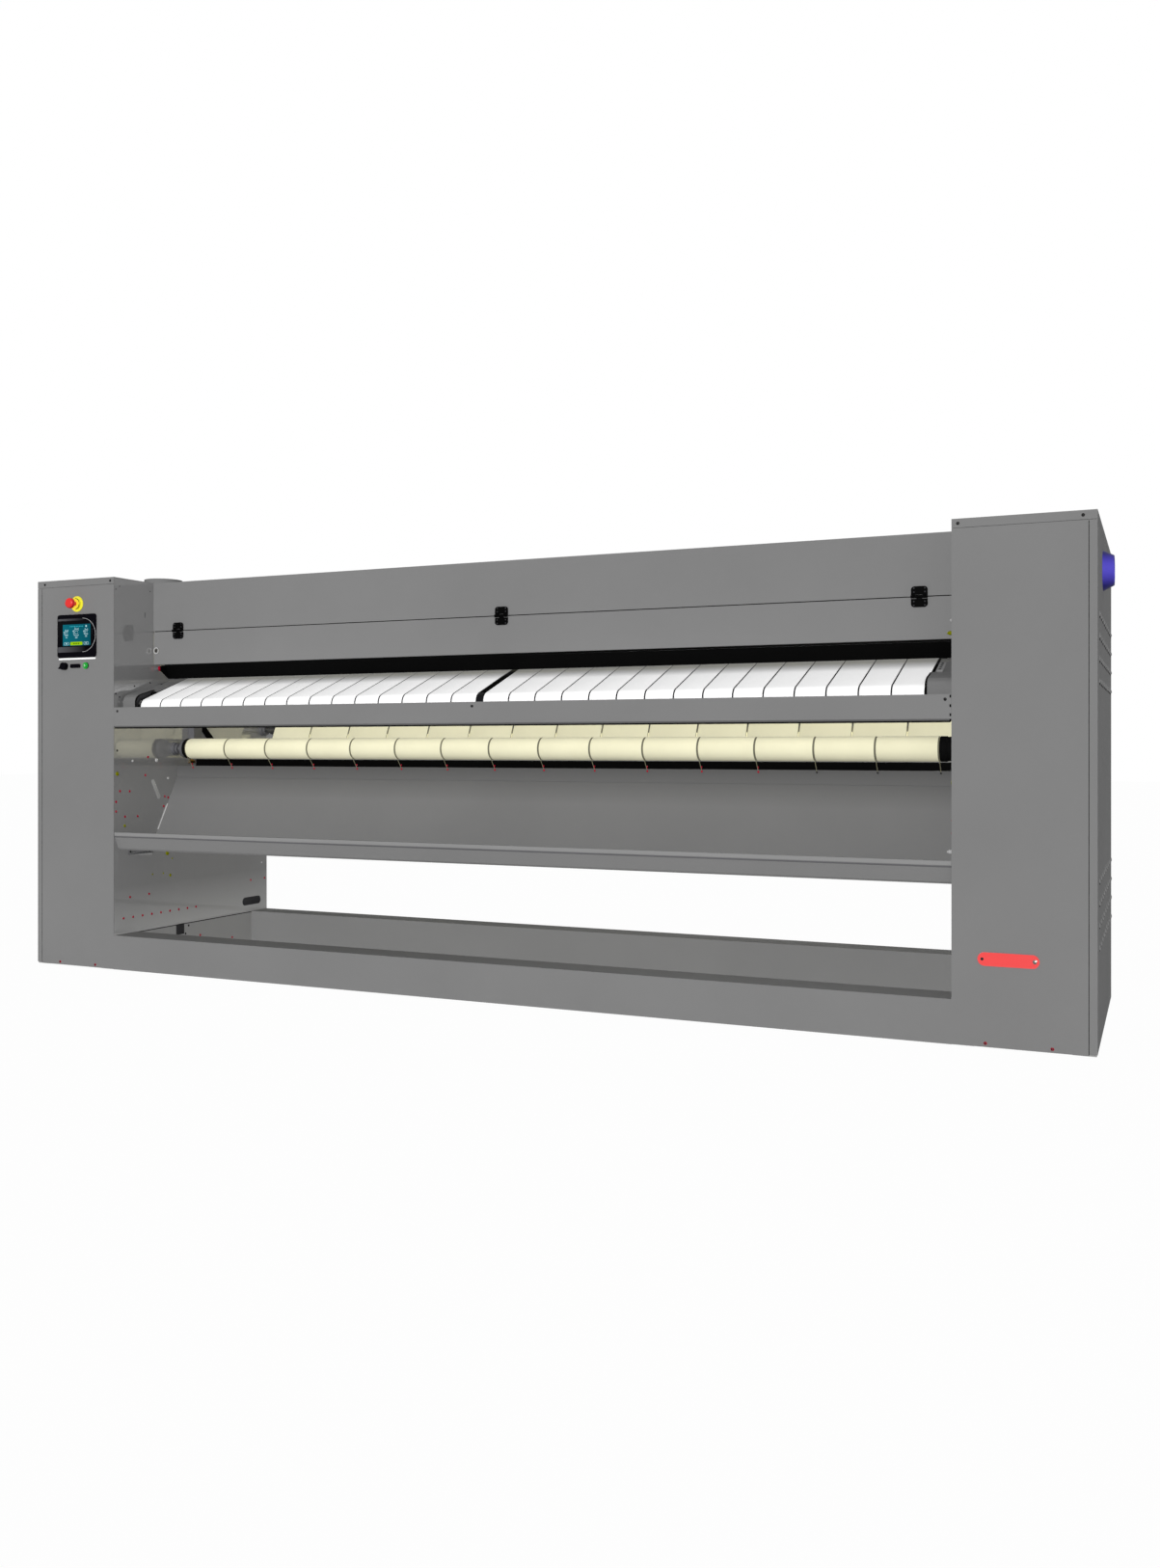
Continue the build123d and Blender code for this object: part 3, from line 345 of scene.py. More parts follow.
def fade(name, dark, light, ends, rough, glow=0.0):
    # Printed panel: one colour fading to the other across x between its ends
    material, tree, base = newMaterial(name, {"Roughness": rough, "IOR": display["printIor"],
                                              "Emission Strength": glow})
    share = addNode(tree, "MapRange", {"From Min": ends[0], "From Max": ends[1]},
                    {0: (objectPlace(tree), "X")})
    colour = tint(tree, share, (light, dark), 0, 1)
    tree.links.new(colour.outputs[0], base.inputs["Emission Color" if glow else "Base Color"])
    if glow:
        base.inputs["Base Color"].default_value = linear(display["off"])
    return material


def shadedMoulding(name, light, dark, middle, reach, rough):
    # Moulded plastic with painted shading: a painted highlight along its middle height, and painted shade
    # that grows darker by the square of the way from it
    material, tree, base = newMaterial(name, {"IOR": mould["ior"], "Roughness": rough})
    away = addNode(tree, "Math", {"operation": "SUBTRACT", 1: middle}, {0: (objectPlace(tree), "Z")})
    share = addNode(tree, "Math", {"operation": "DIVIDE", 1: reach}, {0: (away, 0)})
    square = addNode(tree, "Math", {"operation": "POWER", 1: 2.0}, {0: (share, 0)})
    colour = tint(tree, square, (light, dark), mould["flat"], 1)
    tree.links.new(colour.outputs[0], base.inputs["Base Color"])
    grain(tree, base, noiseOn(tree, mould["coarse"], detail=2.0), mould)
    return material


def lit(name, hexColour):
    # A lit mark on the display: black while off, its colour is its own light through glass
    dots = {"Emission Color": linear(hexColour), "Emission Strength": 1.0}
    return plastic(name, display["off"], display["rough"], display["grain"], display["ior"], dots)


panelMiddle = middleOf("display_screen", 0)
bezelEnds = (panelMiddle - 0.1, panelMiddle + 0.045)
displayEnds = (panelMiddle - 0.07, panelMiddle + 0.07)
# The belts' edge colours are painted shade in the gaps between belts, and their glow is painted light
whiteWeave = {"dark": "#FAFAFA", "light": "#FFFFFF", "gapShadeColour": "#4A4A4A", "edge": 0.001, "rough": 0.55,
              "thread": 0.004, "sheen": 0.05, "glow": 0.27}
creamWeave = {"dark": "#ECE8C8", "light": "#F2EECE", "gapShadeColour": "#7C7A62", "edge": 0.0012, "rough": 0.75,
              "thread": 0.005, "sheen": 0.1, "glow": 0.11}
deepGloss = {"Coat Weight": 1.0, "Coat IOR": 1.9, "Coat Roughness": 0.04}
softLight = {"Emission Color": linear("#FFFFFF"), "Emission Strength": 0.25}
lensCoat = {"Coat Weight": 0.6}
materials = {
    "coverPaint": powderCoat("mattGreyPowderCoat", "#838383", "#878787", 0.8, ior=1.06),
    # Painted light: the inner walls turn lighter from 0.3 m down to 0.12 m, for light bounced off the floor
    "wallPaint": paintedShading(powderCoat("glossGreyEnamel", "#8C8C8C", "#909090", 0.08, 0.03, 1.8, deepGloss),
                       "#C4C4C4", "Z", 0.3, 0.12),
    "trayPaint": powderCoat("satinGreyPowderCoat", "#7A7A7A", "#7E7E7E", 0.5, 0.004, 1.15),
    # Painted shade: the chute turns darker from 0.63 m up to 0.75 m, towards its top under the feed table
    "chutePaint": paintedShading(powderCoat("chuteGreyPowderCoat", "#7B7B7B", "#7F7F7F", 0.5, 0.004, 1.15),
                        "#5E5E5E", "Z", 0.63, 0.75),
    # Painted shade: the feed belts turn darker towards the back, where they run under the guard
    "whiteBelt": paintedShading(wovenBelt("whitePolyesterBelt", feedWidth * mm, whiteWeave),
                       "#8A8A8A", "Y", -0.225, -0.152),
    "creamBelt": wovenBelt("creamAramidBelt", wideWidth * mm, creamWeave),
    "blackPaint": powderCoat("blackPowderCoat", "#060606", "#0A0A0A", 0.7, ior=1.1),
    "blackNylon": plastic("blackNylon", "#050505", 0.6, ior=1.12),
    "blackAbs": plastic("blackAbs", "#06050C", 0.4, ior=1.15),
    "blackSteel": metal("blackenedSteel", "#2A2A2C", "#3A3A3D", 0.38),
    "rollerSteel": metal("turnedZincSteel", "#7A7A7C", "#98989A", 0.34, (1, 12, 12)),
    "polishedSteel": metal("polishedSteel", "#4E4E50", "#626264", 0.3, (8, 1, 1)),
    "galvanised": metal("galvanisedSheet", "#8C8F90", "#B2B4B5", 0.4, size=0.02),
    "yellowZinc": metal("yellowPassivatedZinc", "#9C7A4C", "#B8935E", 0.35),
    "nickel": metal("nickelPlate", "#C4C2BC", "#DAD8D2", 0.22, size=0.003),
    "castIron": powderCoat("paintedCastIron", "#3E4246", "#4A4E52", 0.55, 0.004),
    "motorEnamel": powderCoat("blueGreyMotorEnamel", "#3B4A58", "#455564", 0.4),
    "redPlate": powderCoat("redPowderCoat", "#FB4646", "#FF4A4A", 0.4),
    "redLacquer": plastic("redLacquer", "#A40028", 0.5, ior=1.15),
    "oliveZinc": plastic("olivePassivatedZinc", "#7C7E00", 0.5, ior=1.15),
    "blackZinc": plastic("blackPassivatedZinc", "#0A0A0A", 0.45),
    "whiteNylon": plastic("whiteNylon", "#C8C8C8", 0.4),
    "redNylon": plastic("redNylon", "#B0002C", 0.5, ior=1.2),
    "stopRed": plastic("redStopAbs", "#F0302E", 0.32),
    "stopYellow": plastic("yellowStopAbs", "#F7F03C", 0.4),
    "startGreen": plastic("greenLens", "#12B034", 0.15, settings=lensCoat),
    "lightBar": plastic("opalAcrylic", "#F4F4F4", 0.2, settings=softLight),
    # Painted highlight and shade: the spigot is light along its middle height and darker above and below
    "blueSpigot": shadedMoulding("bluePolypropylene", "#5248C8", "#140A70", middleOf("duct_spigot", 2), 0.046, 0.3),
    "cottonCord": plastic("twistedCottonCord", "#8A866C", 0.8, 0.003),
    "blackRubber": plastic("blackRubber", "#0C0C0C", 0.8, 0.003, 1.15),
    "darkSteel": metal("darkSteel", "#3C3C3E", "#4C4C4F", 0.5),
    "palePaint": powderCoat("paleGreyPowderCoat", "#B4B4B4", "#BABABA", 0.5, ior=1.2),
    "shadePaint": powderCoat("darkGreyPowderCoat", "#3A3A3C", "#404042", 0.7, ior=1.1),
    "hemPaint": powderCoat("hemGreyPowderCoat", "#909090", "#949494", 0.8, ior=1.06),
    # Painted light: the base side members are a lighter grey, for light bounced off the floor
    "paintedLightMemberPaint": powderCoat("memberPaintedLightGrey", "#A4A4A4", "#A8A8A8", 0.8, ior=1.06),
    "hubPaint": powderCoat("hubGreyEnamel", "#5E5E60", "#66666A", 0.4),
    "fadedAbs": fade("printedBezel", "#040308", "#5C5C60", bezelEnds, 0.4),
    "darkGlass": plastic("tintedGlass", "#030307", 0.12, 0.02, ior=1.2),
    "tealDisplay": fade("tealDisplay", "#00505E", "#006878", displayEnds, 0.2, 1.0),
    "cyanDisplay": lit("cyanDisplay", "#38B4C4"),
    "whiteDisplay": lit("whiteDisplay", "#BFE3EA"),
    "limeDisplay": lit("limeDisplay", "#98C800"),
}
print("materials ready:", len(materials))

# ---- shapes ----
# Below, a point is (x, depth, height) in millimetres: x from the middle of the machine,
# depth from its front face and height from the floor.

origin = np.array([sizes["middle"], sizes["front"], 0.0])
sharpAngle = 35   # degrees between faces from which an edge shows as sharp
sideName = {-1: "Left", 1: "Right"}
toFront = (0, -1, 0)
planes = {  # for each flat face: a point on it, the way along it, up it and out of it
    "front": ((0, 0, 0), (1, 0, 0), (0, 0, 1), (0, -1, 0)),
    "leftWall": ((-wallX, 0, 0), (0, 1, 0), (0, 0, 1), (1, 0, 0)),
    "rightWall": ((wallX, 0, 0), (0, 1, 0), (0, 0, 1), (-1, 0, 0)),
    "rightSide": ((halfWidth, 0, 0), (0, 1, 0), (0, 0, 1), (1, 0, 0)),
}


def gridFaces(rows, columns, closeRows=False, closeColumns=False):
    # Quads of a grid of points: each joins a point with the next ones along both ways
    numbers = np.arange(rows * columns).reshape(rows, columns)
    if closeRows:
        numbers = np.vstack([numbers, numbers[:1]])
    if closeColumns:
        numbers = np.hstack([numbers, numbers[:, :1]])
    quads = [numbers[:-1, :-1], numbers[:-1, 1:], numbers[1:, 1:], numbers[1:, :-1]]
    return np.stack(quads, -1).reshape(-1, 4)


def ringSurface(rings):
    # Closed rings of points joined one to the next, with a flat face on the first and the last
    rows, columns = rings.shape[:2]
    ends = np.array([np.arange(columns)[::-1], np.arange(columns) + (rows - 1) * columns])
    return rings.reshape(-1, 3), [gridFaces(rows, columns, closeColumns=True), ends]


def onPlane(plane, u, v, out):
    # A flat frame's point: its corner plus u along it, v up it and out of it
    start, along, up, forward = [np.array(part, float) for part in planes[plane]]
    u, v, out = [part[..., None] for part in np.broadcast_arrays(u, v, out)]
    return start + u * along + v * up + out * forward


def roundedOutline(width, height, radius, centre=(0, 0), steps=6):
    # A rectangle's four corners, each a quarter circle
    turn = np.concatenate([np.linspace(0, 1, steps) + quarter for quarter in range(4)]) * np.pi / 2
    signs = np.repeat([(1, 1), (-1, 1), (-1, -1), (1, -1)], steps, axis=0)
    corners = signs * (width / 2 - radius, height / 2 - radius)
    return corners + radius * np.stack([np.cos(turn), np.sin(turn)], 1) + centre


def roundOutline(radius, centre=(0, 0), steps=32):
    # A circle: cosine and sine of an even turn
    turn = np.arange(steps) / steps * 2 * np.pi
    return radius * np.stack([np.cos(turn), np.sin(turn)], 1) + centre


def plate(plane, outline, base, rise, edge=0.5):
    # A flat plate: its outline, then drawn in along its normals by edge * (1 - cos) as it rises
    # by edge * sin, so the front edge is a quarter round
    run = np.roll(outline, -1, 0) - np.roll(outline, 1, 0)
    run = run / np.linalg.norm(run, axis=1)[:, None]
    outward = np.stack([run[:, 1], -run[:, 0]], 1)
    turn = np.linspace(0, np.pi / 2, 4)
    inset = np.concatenate([[0], edge * (1 - np.cos(turn))])
    height = np.concatenate([[base], base + rise - edge + edge * np.sin(turn)])
    flat = outline[None] - inset[:, None, None] * outward[None]
    return ringSurface(onPlane(plane, flat[..., 0], flat[..., 1], height[:, None]))


def frameBand(plane, outer, inner, base, rise):
    # A flat ring between two outlines of the same number of points: four rings joined in a loop
    rings = [(outer, base), (outer, base + rise), (inner, base + rise), (inner, base)]
    points = np.stack([onPlane(plane, line[:, 0], line[:, 1], level) for line, level in rings])
    return points.reshape(-1, 3), [gridFaces(4, len(outer), closeRows=True, closeColumns=True)]


def turned(profile, centre, axis, steps=28, lobes=None):
    # Surface of revolution: ring k lies at reach k along the axis with radius k. Where lobes
    # gives a share for a ring, its radius swells and sinks four times round, as a cross does
    radius, reach = np.array(profile, float).T
    axis = np.array(axis, float) / np.linalg.norm(axis)
    side = np.cross(axis, (0, 0, 1) if abs(axis[2]) < 0.9 else (1, 0, 0))
    side = side / np.linalg.norm(side)
    up = np.cross(axis, side)
    turn = np.arange(steps) / steps * 2 * np.pi
    share = np.zeros(len(radius)) if lobes is None else np.array(lobes, float)
    wave = 1 - share[:, None] * (1 - np.cos(2 * turn)[None] ** 6)
    swung = (radius[:, None] * wave)[..., None] * (np.cos(turn)[:, None] * side + np.sin(turn)[:, None] * up)
    return ringSurface(np.array(centre, float) + reach[:, None, None] * axis + swung)


def rod(path, radius, across, steps=10, tipReach=0.3, tipRadius=0.6):
    # A round bar along a path that turns about the direction across: rings square to its tangent,
    # with a smaller ring past each end. The tips are given in radii
    path = np.array(path, float)
    run = np.gradient(path, axis=0)
    run = run / np.linalg.norm(run, axis=1)[:, None]
    across = np.array(across, float)
    lift = np.cross(run, across)
    turn = np.arange(steps) / steps * 2 * np.pi
    ring = np.cos(turn)[None, :, None] * across + np.sin(turn)[None, :, None] * lift[:, None]
    body = path[:, None] + radius * ring
    first = path[:1, None] - tipReach * radius * run[:1, None] + tipRadius * radius * ring[:1]
    last = path[-1:, None] + tipReach * radius * run[-1:, None] + tipRadius * radius * ring[-1:]
    return ringSurface(np.concatenate([first, body, last]))


def folded(line, thickness, ends):
    # Bent sheet: a line of (depth, height) and the same line moved along its normals by the
    # thickness, drawn along x between two ends
    line = np.array(line, float)
    run = np.diff(line, axis=0)
    run = run / np.linalg.norm(run, axis=1)[:, None]
    normal = np.stack([-run[:, 1], run[:, 0]], 1)
    before, after = np.vstack([normal[:1], normal]), np.vstack([normal, normal[-1:]])
    mitre = (before + after) / (1 + (before * after).sum(1))[:, None]
    outline = np.vstack([line, (line + thickness * mitre)[::-1]])
    x = np.array(ends, float)[:, None, None] * np.ones((1, len(outline), 1))
    return ringSurface(np.concatenate([x, np.broadcast_to(outline, (2, *outline.shape))], 2))


def moved(surface, offsets, scales=1.0):
    # Copies of a surface, one at each offset, each at its own scale
    points, groups = surface
    offsets = np.array(offsets, float).reshape(-1, 3)
    points = points[None] * np.broadcast_to(scales, len(offsets))[:, None, None]
    steps = np.arange(len(offsets))[:, None, None] * points.shape[1]
    copies = [(group[None] + steps).reshape(-1, group.shape[1]) for group in groups]
    return (points + offsets[:, None]).reshape(-1, 3), copies


def both(surface):
    # A surface and its mirror image across the middle
    points, groups = surface
    return [surface, (points * (-1, 1, 1), [group[:, ::-1] for group in groups])]


slotFinishes = {  # slot: the finishes that stand for it, unless a piece names another slot
    "black_plastic": ("blackRubber", "blackNylon", "blackAbs", "fadedAbs"),
    "lock_nickel": ("nickel", "yellowZinc"),
    "wall_steel": ("trayPaint", "chutePaint", "palePaint", "hemPaint", "hubPaint"),
    "black_paint": ("blackPaint", "shadePaint"),
    "screen_glass": ("darkGlass", "tealDisplay", "cyanDisplay", "whiteDisplay", "limeDisplay"),
    "start_green": ("startGreen",),
}
slotOf = {finish: slot for slot, finishes in slotFinishes.items() for finish in finishes}


def newPiece(name, surfaces, finish, slot=None, body="frame", replaces=(), weave=None):
    # Surfaces in millimetres become one mesh in the frame's metres
    slot = slot or slotOf.get(finish)
    corners, faces, start = [], [], 0
    for points, groups in surfaces:
        corners.append(points)
        for group in groups:
            faces += (group + start).tolist()
        start += len(points)
    mesh = bpy.data.meshes.new(name)
    mesh.from_pydata((origin + np.concatenate(corners) * mm).tolist(), [], faces)
    if weave is not None:
        mesh.uv_layers.new(name="weave").uv.foreach_set("vector", weave.astype(np.float32).ravel())
    shape = bmesh.new()
    shape.from_mesh(mesh)
    bmesh.ops.remove_doubles(shape, verts=shape.verts, dist=1e-6)
    bmesh.ops.recalc_face_normals(shape, faces=shape.faces)
    shape.to_mesh(mesh)
    shape.free()
    mesh.polygons.foreach_set("use_smooth", np.ones(len(mesh.polygons), bool))
    mesh.set_sharp_from_angle(angle=math.radians(sharpAngle))
    piece = bpy.data.objects.new(name, mesh)
    bpy.context.scene.collection.objects.link(piece)
    mesh.materials.append(materials[finish])
    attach(piece, body)
    if replaces:
        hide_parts(*replaces)


# ---- belts ----

rollerAt = {  # depth and height of each axis, radius
    name: (*((corner(name)[0] + corner(name)[1])[1:] / 2 / mm - (sizes["front"] / mm, 0)),
           (corner(name)[1][2] - corner(name)[0][2]) / 2 / mm)
    for name in nodes if name.endswith("_roller") or name == "heated_cylinder"
}
belts = {  # round: each roller and the way the belt turns on it
    "feedBelts": {"node": "feed_belts", "finish": "whiteBelt", "slot": "white_belt", "thickness": 2,
                  "round": [("feed_front_roller", 1), ("feed_rear_roller", 1)]},
    "ironingBelts": {"node": "ironing_belts", "finish": "creamBelt", "slot": "cream_belt", "thickness": 3,
                     "round": [("lower_rear_roller", 1), ("upper_rear_roller", 1), ("upper_front_roller", 1),
                               ("nip_roller", 1), ("heated_cylinder", -1)]},
    "returnBelts": {"node": "return_belts", "finish": "creamBelt", "slot": "cream_belt", "thickness": 3,
                    "round": [("return_front_roller", 1), ("return_lower_roller", 1),
                              ("return_upper_roller", 1), ("return_bend_roller", -1)]},
}
wideStarts = -beltEnd + beltPlan["wideGap"] / 2 + np.arange(beltPlan["wideCount"]) * widePitch
feedStarts = (beltPlan["feedMiddle"] + beltPlan["feedGap"]) / 2 + np.arange(beltPlan["feedCount"]) * feedPitch
feedStarts = np.concatenate([-feedStarts - feedWidth, feedStarts])


def beltLine(pulleys, offset):
    # Middle line of a belt: on each pulley an arc of its radius plus offset, turning its own way,
    # and between two of them their common tangent, whose heading is the line of centres less
    # the arc sine of (the signed radii's difference over the distance)
    centres = np.array([pulley[:2] for pulley in pulleys])
    hands = np.array([pulley[3] for pulley in pulleys])
    radii = np.array([pulley[2] for pulley in pulleys]) + offset
    ahead = np.roll(centres, -1, 0) - centres
    signed = radii * hands
    heading = np.arctan2(ahead[:, 1], ahead[:, 0])
    heading = heading - np.arcsin((np.roll(signed, -1) - signed) / np.hypot(*ahead.T))
    arcStep = 0.13   # radians
    line = []
    for i, centre in enumerate(centres):
        start, end = heading[i - 1], heading[i]
        sweep = (end - start) * hands[i] % (2 * np.pi) * hands[i]
        turn = start + sweep * np.linspace(0, 1, max(5, int(abs(sweep) / arcStep)))
        normal = np.stack([np.sin(turn), -np.cos(turn)], 1)
        line.append(centre + signed[i] * normal)
        following = centres[(i + 1) % len(centres)]
        outward = np.array([np.sin(end), -np.cos(end)])
        share = np.linspace(0, 1, 6)[1:-1, None]
        line.append((centre + signed[i] * outward) * (1 - share)
                    + (following + signed[(i + 1) % len(centres)] * outward) * share)
    return np.concatenate(line)


def straps(line, starts, width, thickness):
    # Belts: a flat section with rounded edges carried round the closed line, once from each start.
    # The weave's own coordinates are the length along the line and the place across. Each
    # belt's weave starts elsewhere, so that their stains differ
    length = np.concatenate([[0], np.cumsum(np.linalg.norm(np.roll(line, -1, 0) - line, axis=1))])
    run = np.roll(line, -1, 0) - np.roll(line, 1, 0)
    normal = np.stack([run[:, 1], -run[:, 0]], 1) / np.linalg.norm(run, axis=1)[:, None]
    section = roundedOutline(width, thickness, thickness * 0.45, (width / 2, 0), 3)
    flat = line[:, None] + section[None, :, 1, None] * normal[:, None]
    x = np.array(starts)[:, None, None] + np.broadcast_to(section[:, 0], (len(line), len(section)))
    points = np.concatenate([x[..., None], np.broadcast_to(flat, (len(starts), *flat.shape))], -1)
    faces = gridFaces(len(line), len(section), closeRows=True, closeColumns=True)
    row, column = np.divmod(np.arange(len(faces)), len(section))
    along = length[np.stack([row, row, row + 1, row + 1], 1)]
    across = section[:, 0][np.stack([column, column + 1, column + 1, column], 1) % len(section)]
    weave = np.stack([along, across], -1)[None] + np.array(starts)[:, None, None, None] * (0.37, 0)
    steps = np.arange(len(starts))[:, None, None] * (len(line) * len(section))
    return (points.reshape(-1, 3), [(faces[None] + steps).reshape(-1, 4)]), weave.reshape(-1, 2) * mm


for name, values in belts.items():
    pulleys = [(*rollerAt[roller], hand) for roller, hand in values["round"]]
    middleLine = beltLine(pulleys, beltPlan["runGap"] + values["thickness"] / 2)
    starts, width = (feedStarts, feedWidth) if name == "feedBelts" else (wideStarts, wideWidth)
    surface, weave = straps(middleLine, starts, width, values["thickness"])
    newPiece(name, [surface], values["finish"], values["slot"], replaces=[values["node"]], weave=weave)
print("belts ready")

# ---- screws ----

screw = {"radius": 4.6, "rise": 2.2, "cross": 0.62}
wallScrews = {  # finish: places along and up each inner wall, and the size where it isn't 1
    "redLacquer": [(50 + 50 * i, 182) for i in range(9)] + [
        (84, 258), (185, 260), (58, 561), (124, 560), (795, 257), (888, 258), (476, 65), (674, 30),
        (165, 714), (32, 657), (82, 655), (12, 618), (12, 582), (179, 783), (271, 630), (290, 625),
        (265, 592), (394, 779, 0.7)],
    "oliveZinc": [(56, 527, 1.3), (285, 409, 2.0), (313, 386, 0.8), (203, 333, 0.8), (263, 332, 0.8),
                  (302, 321, 1.4), (18, 722, 1.8)],
    "blackZinc": [(18, 808), (407, 112), (389, 82), (10, 1019, 0.8), (30, 1007, 0.8), (107, 1051, 0.8),
                  (191, 1067, 0.8), (225, 1123, 0.6), (11, 1406, 0.5), (30, 1418, 0.5), (190, 1416, 0.5)],
    "whiteNylon": [(289, 700), (225, 770, 1.6), (97, 769), (13, 583, 0.6), (868, 326, 0.7)],
}
coverScrews = {"inner": 17, "outer": 36, "drop": 13, "lowInner": 90, "lowOuter": 113, "low": 11,
               "beamDrop": 215}
socket = {"radius": 2.4, "rise": 0.6, "out": 2.3}


def screwHead(radius, rise, cross):
    # Pan head: a quarter-ellipse dome with a cross sunk into its crown
    turn = np.linspace(0, 0.42 * np.pi, 5)
    dome = [(radius * math.cos(a), rise * math.sin(a) ** 0.8) for a in turn]
    recess = [(radius * cross, rise), (radius * cross * 0.9, rise * 0.35), (radius * 0.1, rise * 0.3)]
    dome = [spot for spot in dome if spot[0] > radius * cross]
    return [(radius, -0.5), *dome, *recess], [0, *[0] * len(dome), 0.7, 0.75, 0]


def screwsOn(plane, spots, radius=screw["radius"], rise=screw["rise"], base=0.0):
    # One screw head, turned to face out of a plane and copied to each spot on it at its size
    profile, lobes = screwHead(radius, rise, screw["cross"])
    head = turned(profile, (0, 0, 0), planes[plane][3], 24, lobes)
    spots = np.array([(*spot, 1.0)[:3] for spot in spots])
    return moved(head, onPlane(plane, spots[:, 0], spots[:, 1], np.array(float(base))), spots[:, 2])


for finish, spots in wallScrews.items():
    # The right-hand wall has the same screws
    heads = [screwsOn(wall, spots) for wall in ("leftWall", "rightWall")]
    newPiece(finish + "Screws", heads, finish, "screw_red", replaces=["panel_screws"])

topSpots = [(hand * x, top - coverScrews["drop"]) for hand in (1, -1)
            for x in (wallX + coverScrews["inner"], halfWidth - coverScrews["outer"])]
lowSpots = [(hand * x, coverScrews["low"]) for hand in (1, -1)
            for x in (wallX + coverScrews["lowInner"], halfWidth - coverScrews["lowOuter"])]
beamSpots = [(hand * (wallX - coverScrews["inner"]), axisHeight - coverScrews["beamDrop"])
             for hand in (-1, 0, 1)]
for finish, spots in (("blackZinc", topSpots + beamSpots), ("redLacquer", lowSpots)):
    newPiece(finish + "CoverScrews", [screwsOn("front", spots)], finish, "screw_red",
             replaces=["panel_screws"])
newPiece("redScrewSockets", [screwsOn("front", lowSpots, socket["radius"], socket["rise"], socket["out"])],
         "blackZinc")

slotPlate = {"x": wallX + 150, "height": 241.5, "hole": 68.5, "out": 2, "holeRadius": 4.2, "headRadius": 4.6,
             "headRise": 4.5, "washerRadius": 5.8, "washerRise": 1}
holeAt = (slotPlate["x"] - slotPlate["hole"], -slotPlate["out"], slotPlate["height"])
boltAt = (slotPlate["x"] + slotPlate["hole"], slotPlate["height"])
hole = turned([(slotPlate["holeRadius"], 0), (slotPlate["holeRadius"], 0.4), (0, 0.4)], holeAt, toFront)
newPiece("plateHoleLeft", [hole], "blackZinc", "screw_red", replaces=["panel_screws"])
hexagon = roundOutline(slotPlate["headRadius"], boltAt, 6)
newPiece("plateHexHead", [plate("front", hexagon, slotPlate["out"], slotPlate["headRise"], 0.8)], "nickel")
washer = roundOutline(slotPlate["washerRadius"], boltAt)
newPiece("plateWasher", [plate("front", washer, slotPlate["out"], slotPlate["washerRise"], 0.4)], "nickel")
print("screws ready")

# ---- hinges, locks and guard ----

hinge = {"spacing": wallX - 122, "seam": axisHeight + 95, "front": 208, "leaf": 4, "screwX": 16,
         "screwHeight": (14, 25), "screwRadius": 2.6, "screwRise": 1.0}
for hand, place, body in ((1, "Upper", "frame"), (-1, "Lower", "access_flap")):
    spots = [(centre + side * hinge["screwX"], hinge["seam"] + hand * height)
             for centre in (-hinge["spacing"], 0, hinge["spacing"])
             for side in (-1, 1) for height in hinge["screwHeight"]]
    heads = screwsOn("front", spots, hinge["screwRadius"], hinge["screwRise"], hinge["leaf"] - hinge["front"])
    newPiece("hingeScrews" + place, [heads], "darkSteel", "lock_nickel", body)

lock = {"x": wallX - 17, "height": axisHeight + 22, "front": 204, "ring": (12.4, 9.6), "ringRise": 1.0,
        "centre": [(4.6, -1.5), (4.6, 0.5), (4.1, 0.9), (3.2, 0.9), (2.9, -1.0), (0, -1.0)],
        "cross": (0, 0, 0, 0, 0.6, 0)}
for hand in (-1, 1):
    side = sideName[hand]
    body = "flap_lock_" + side.lower()
    x = hand * lock["x"]
    cam = turned(lock["centre"], (x, lock["front"], lock["height"]), toFront, 28, lock["cross"])
    newPiece("lockCentre" + side, [cam], "blackZinc", "black_plastic", body)
    outer, inner = [roundOutline(radius, (x, lock["height"]), 48) for radius in lock["ring"]]
    ring = frameBand("front", outer, inner, -lock["front"] - 0.2, lock["ringRise"])
    newPiece("lockRing" + side, [ring], "whiteNylon", "lock_nickel", body)

pivot = {"inset": 21, "depth": 229, "height": axisHeight - 45, "finish": {-1: "redLacquer", 1: "blackZinc"},
         "profile": [(8.2, 0), (9.5, 0.5), (9.5, 9), (8.2, 9.6)]}
for hand in (-1, 1):
    centre = (hand * (wallX - pivot["inset"]), pivot["depth"], pivot["height"])
    newPiece("guardPivotCap" + sideName[hand], [turned(pivot["profile"], centre, (hand, 0, 0))],
             pivot["finish"][hand], "stop_red")

# ---- return roller ends ----

frontRoller = rollerAt["return_front_roller"]
rollerEnd = {"start": beltEnd + 1.5, "length": {-1: 15, 1: 21}, "radius": 38.8, "neck": 0.7, "rightNeck": 16,
             "clearance": 0.05}
collar = {"inset": 42, "profile": [(12.1, 0), (16, 0), (17, 1), (17, 9), (16, 10), (12.1, 10)]}
for hand in (-1, 1):
    # A cap over the roller's end with chamfered rims; the right one goes on as a narrow neck
    bore, neck = frontRoller[2] + rollerEnd["clearance"], frontRoller[2] + rollerEnd["neck"]
    rim, length = rollerEnd["radius"], rollerEnd["length"][hand]
    profile = [(bore, 0), (rim - 0.8, 0), (rim, 1.2), (rim, length - 2), (rim - 1.5, length), (neck, length)]
    if hand > 0:
        profile.append((neck, length + rollerEnd["rightNeck"]))
    profile.append((bore, profile[-1][1]))
    centre = (hand * rollerEnd["start"], *frontRoller[:2])
    newPiece("rollerEndSleeve" + sideName[hand], [turned(profile, centre, (hand, 0, 0), 48)], "blackRubber",
             body="return_front_roller")
    centre = (hand * (wallX - collar["inset"]), *frontRoller[:2])
    newPiece("shaftCollar" + sideName[hand], [turned(collar["profile"], centre, (hand, 0, 0), 40)], "nickel",
             "roller_steel", "return_front_roller")
print("fittings ready")

# ---- cord hooks ----

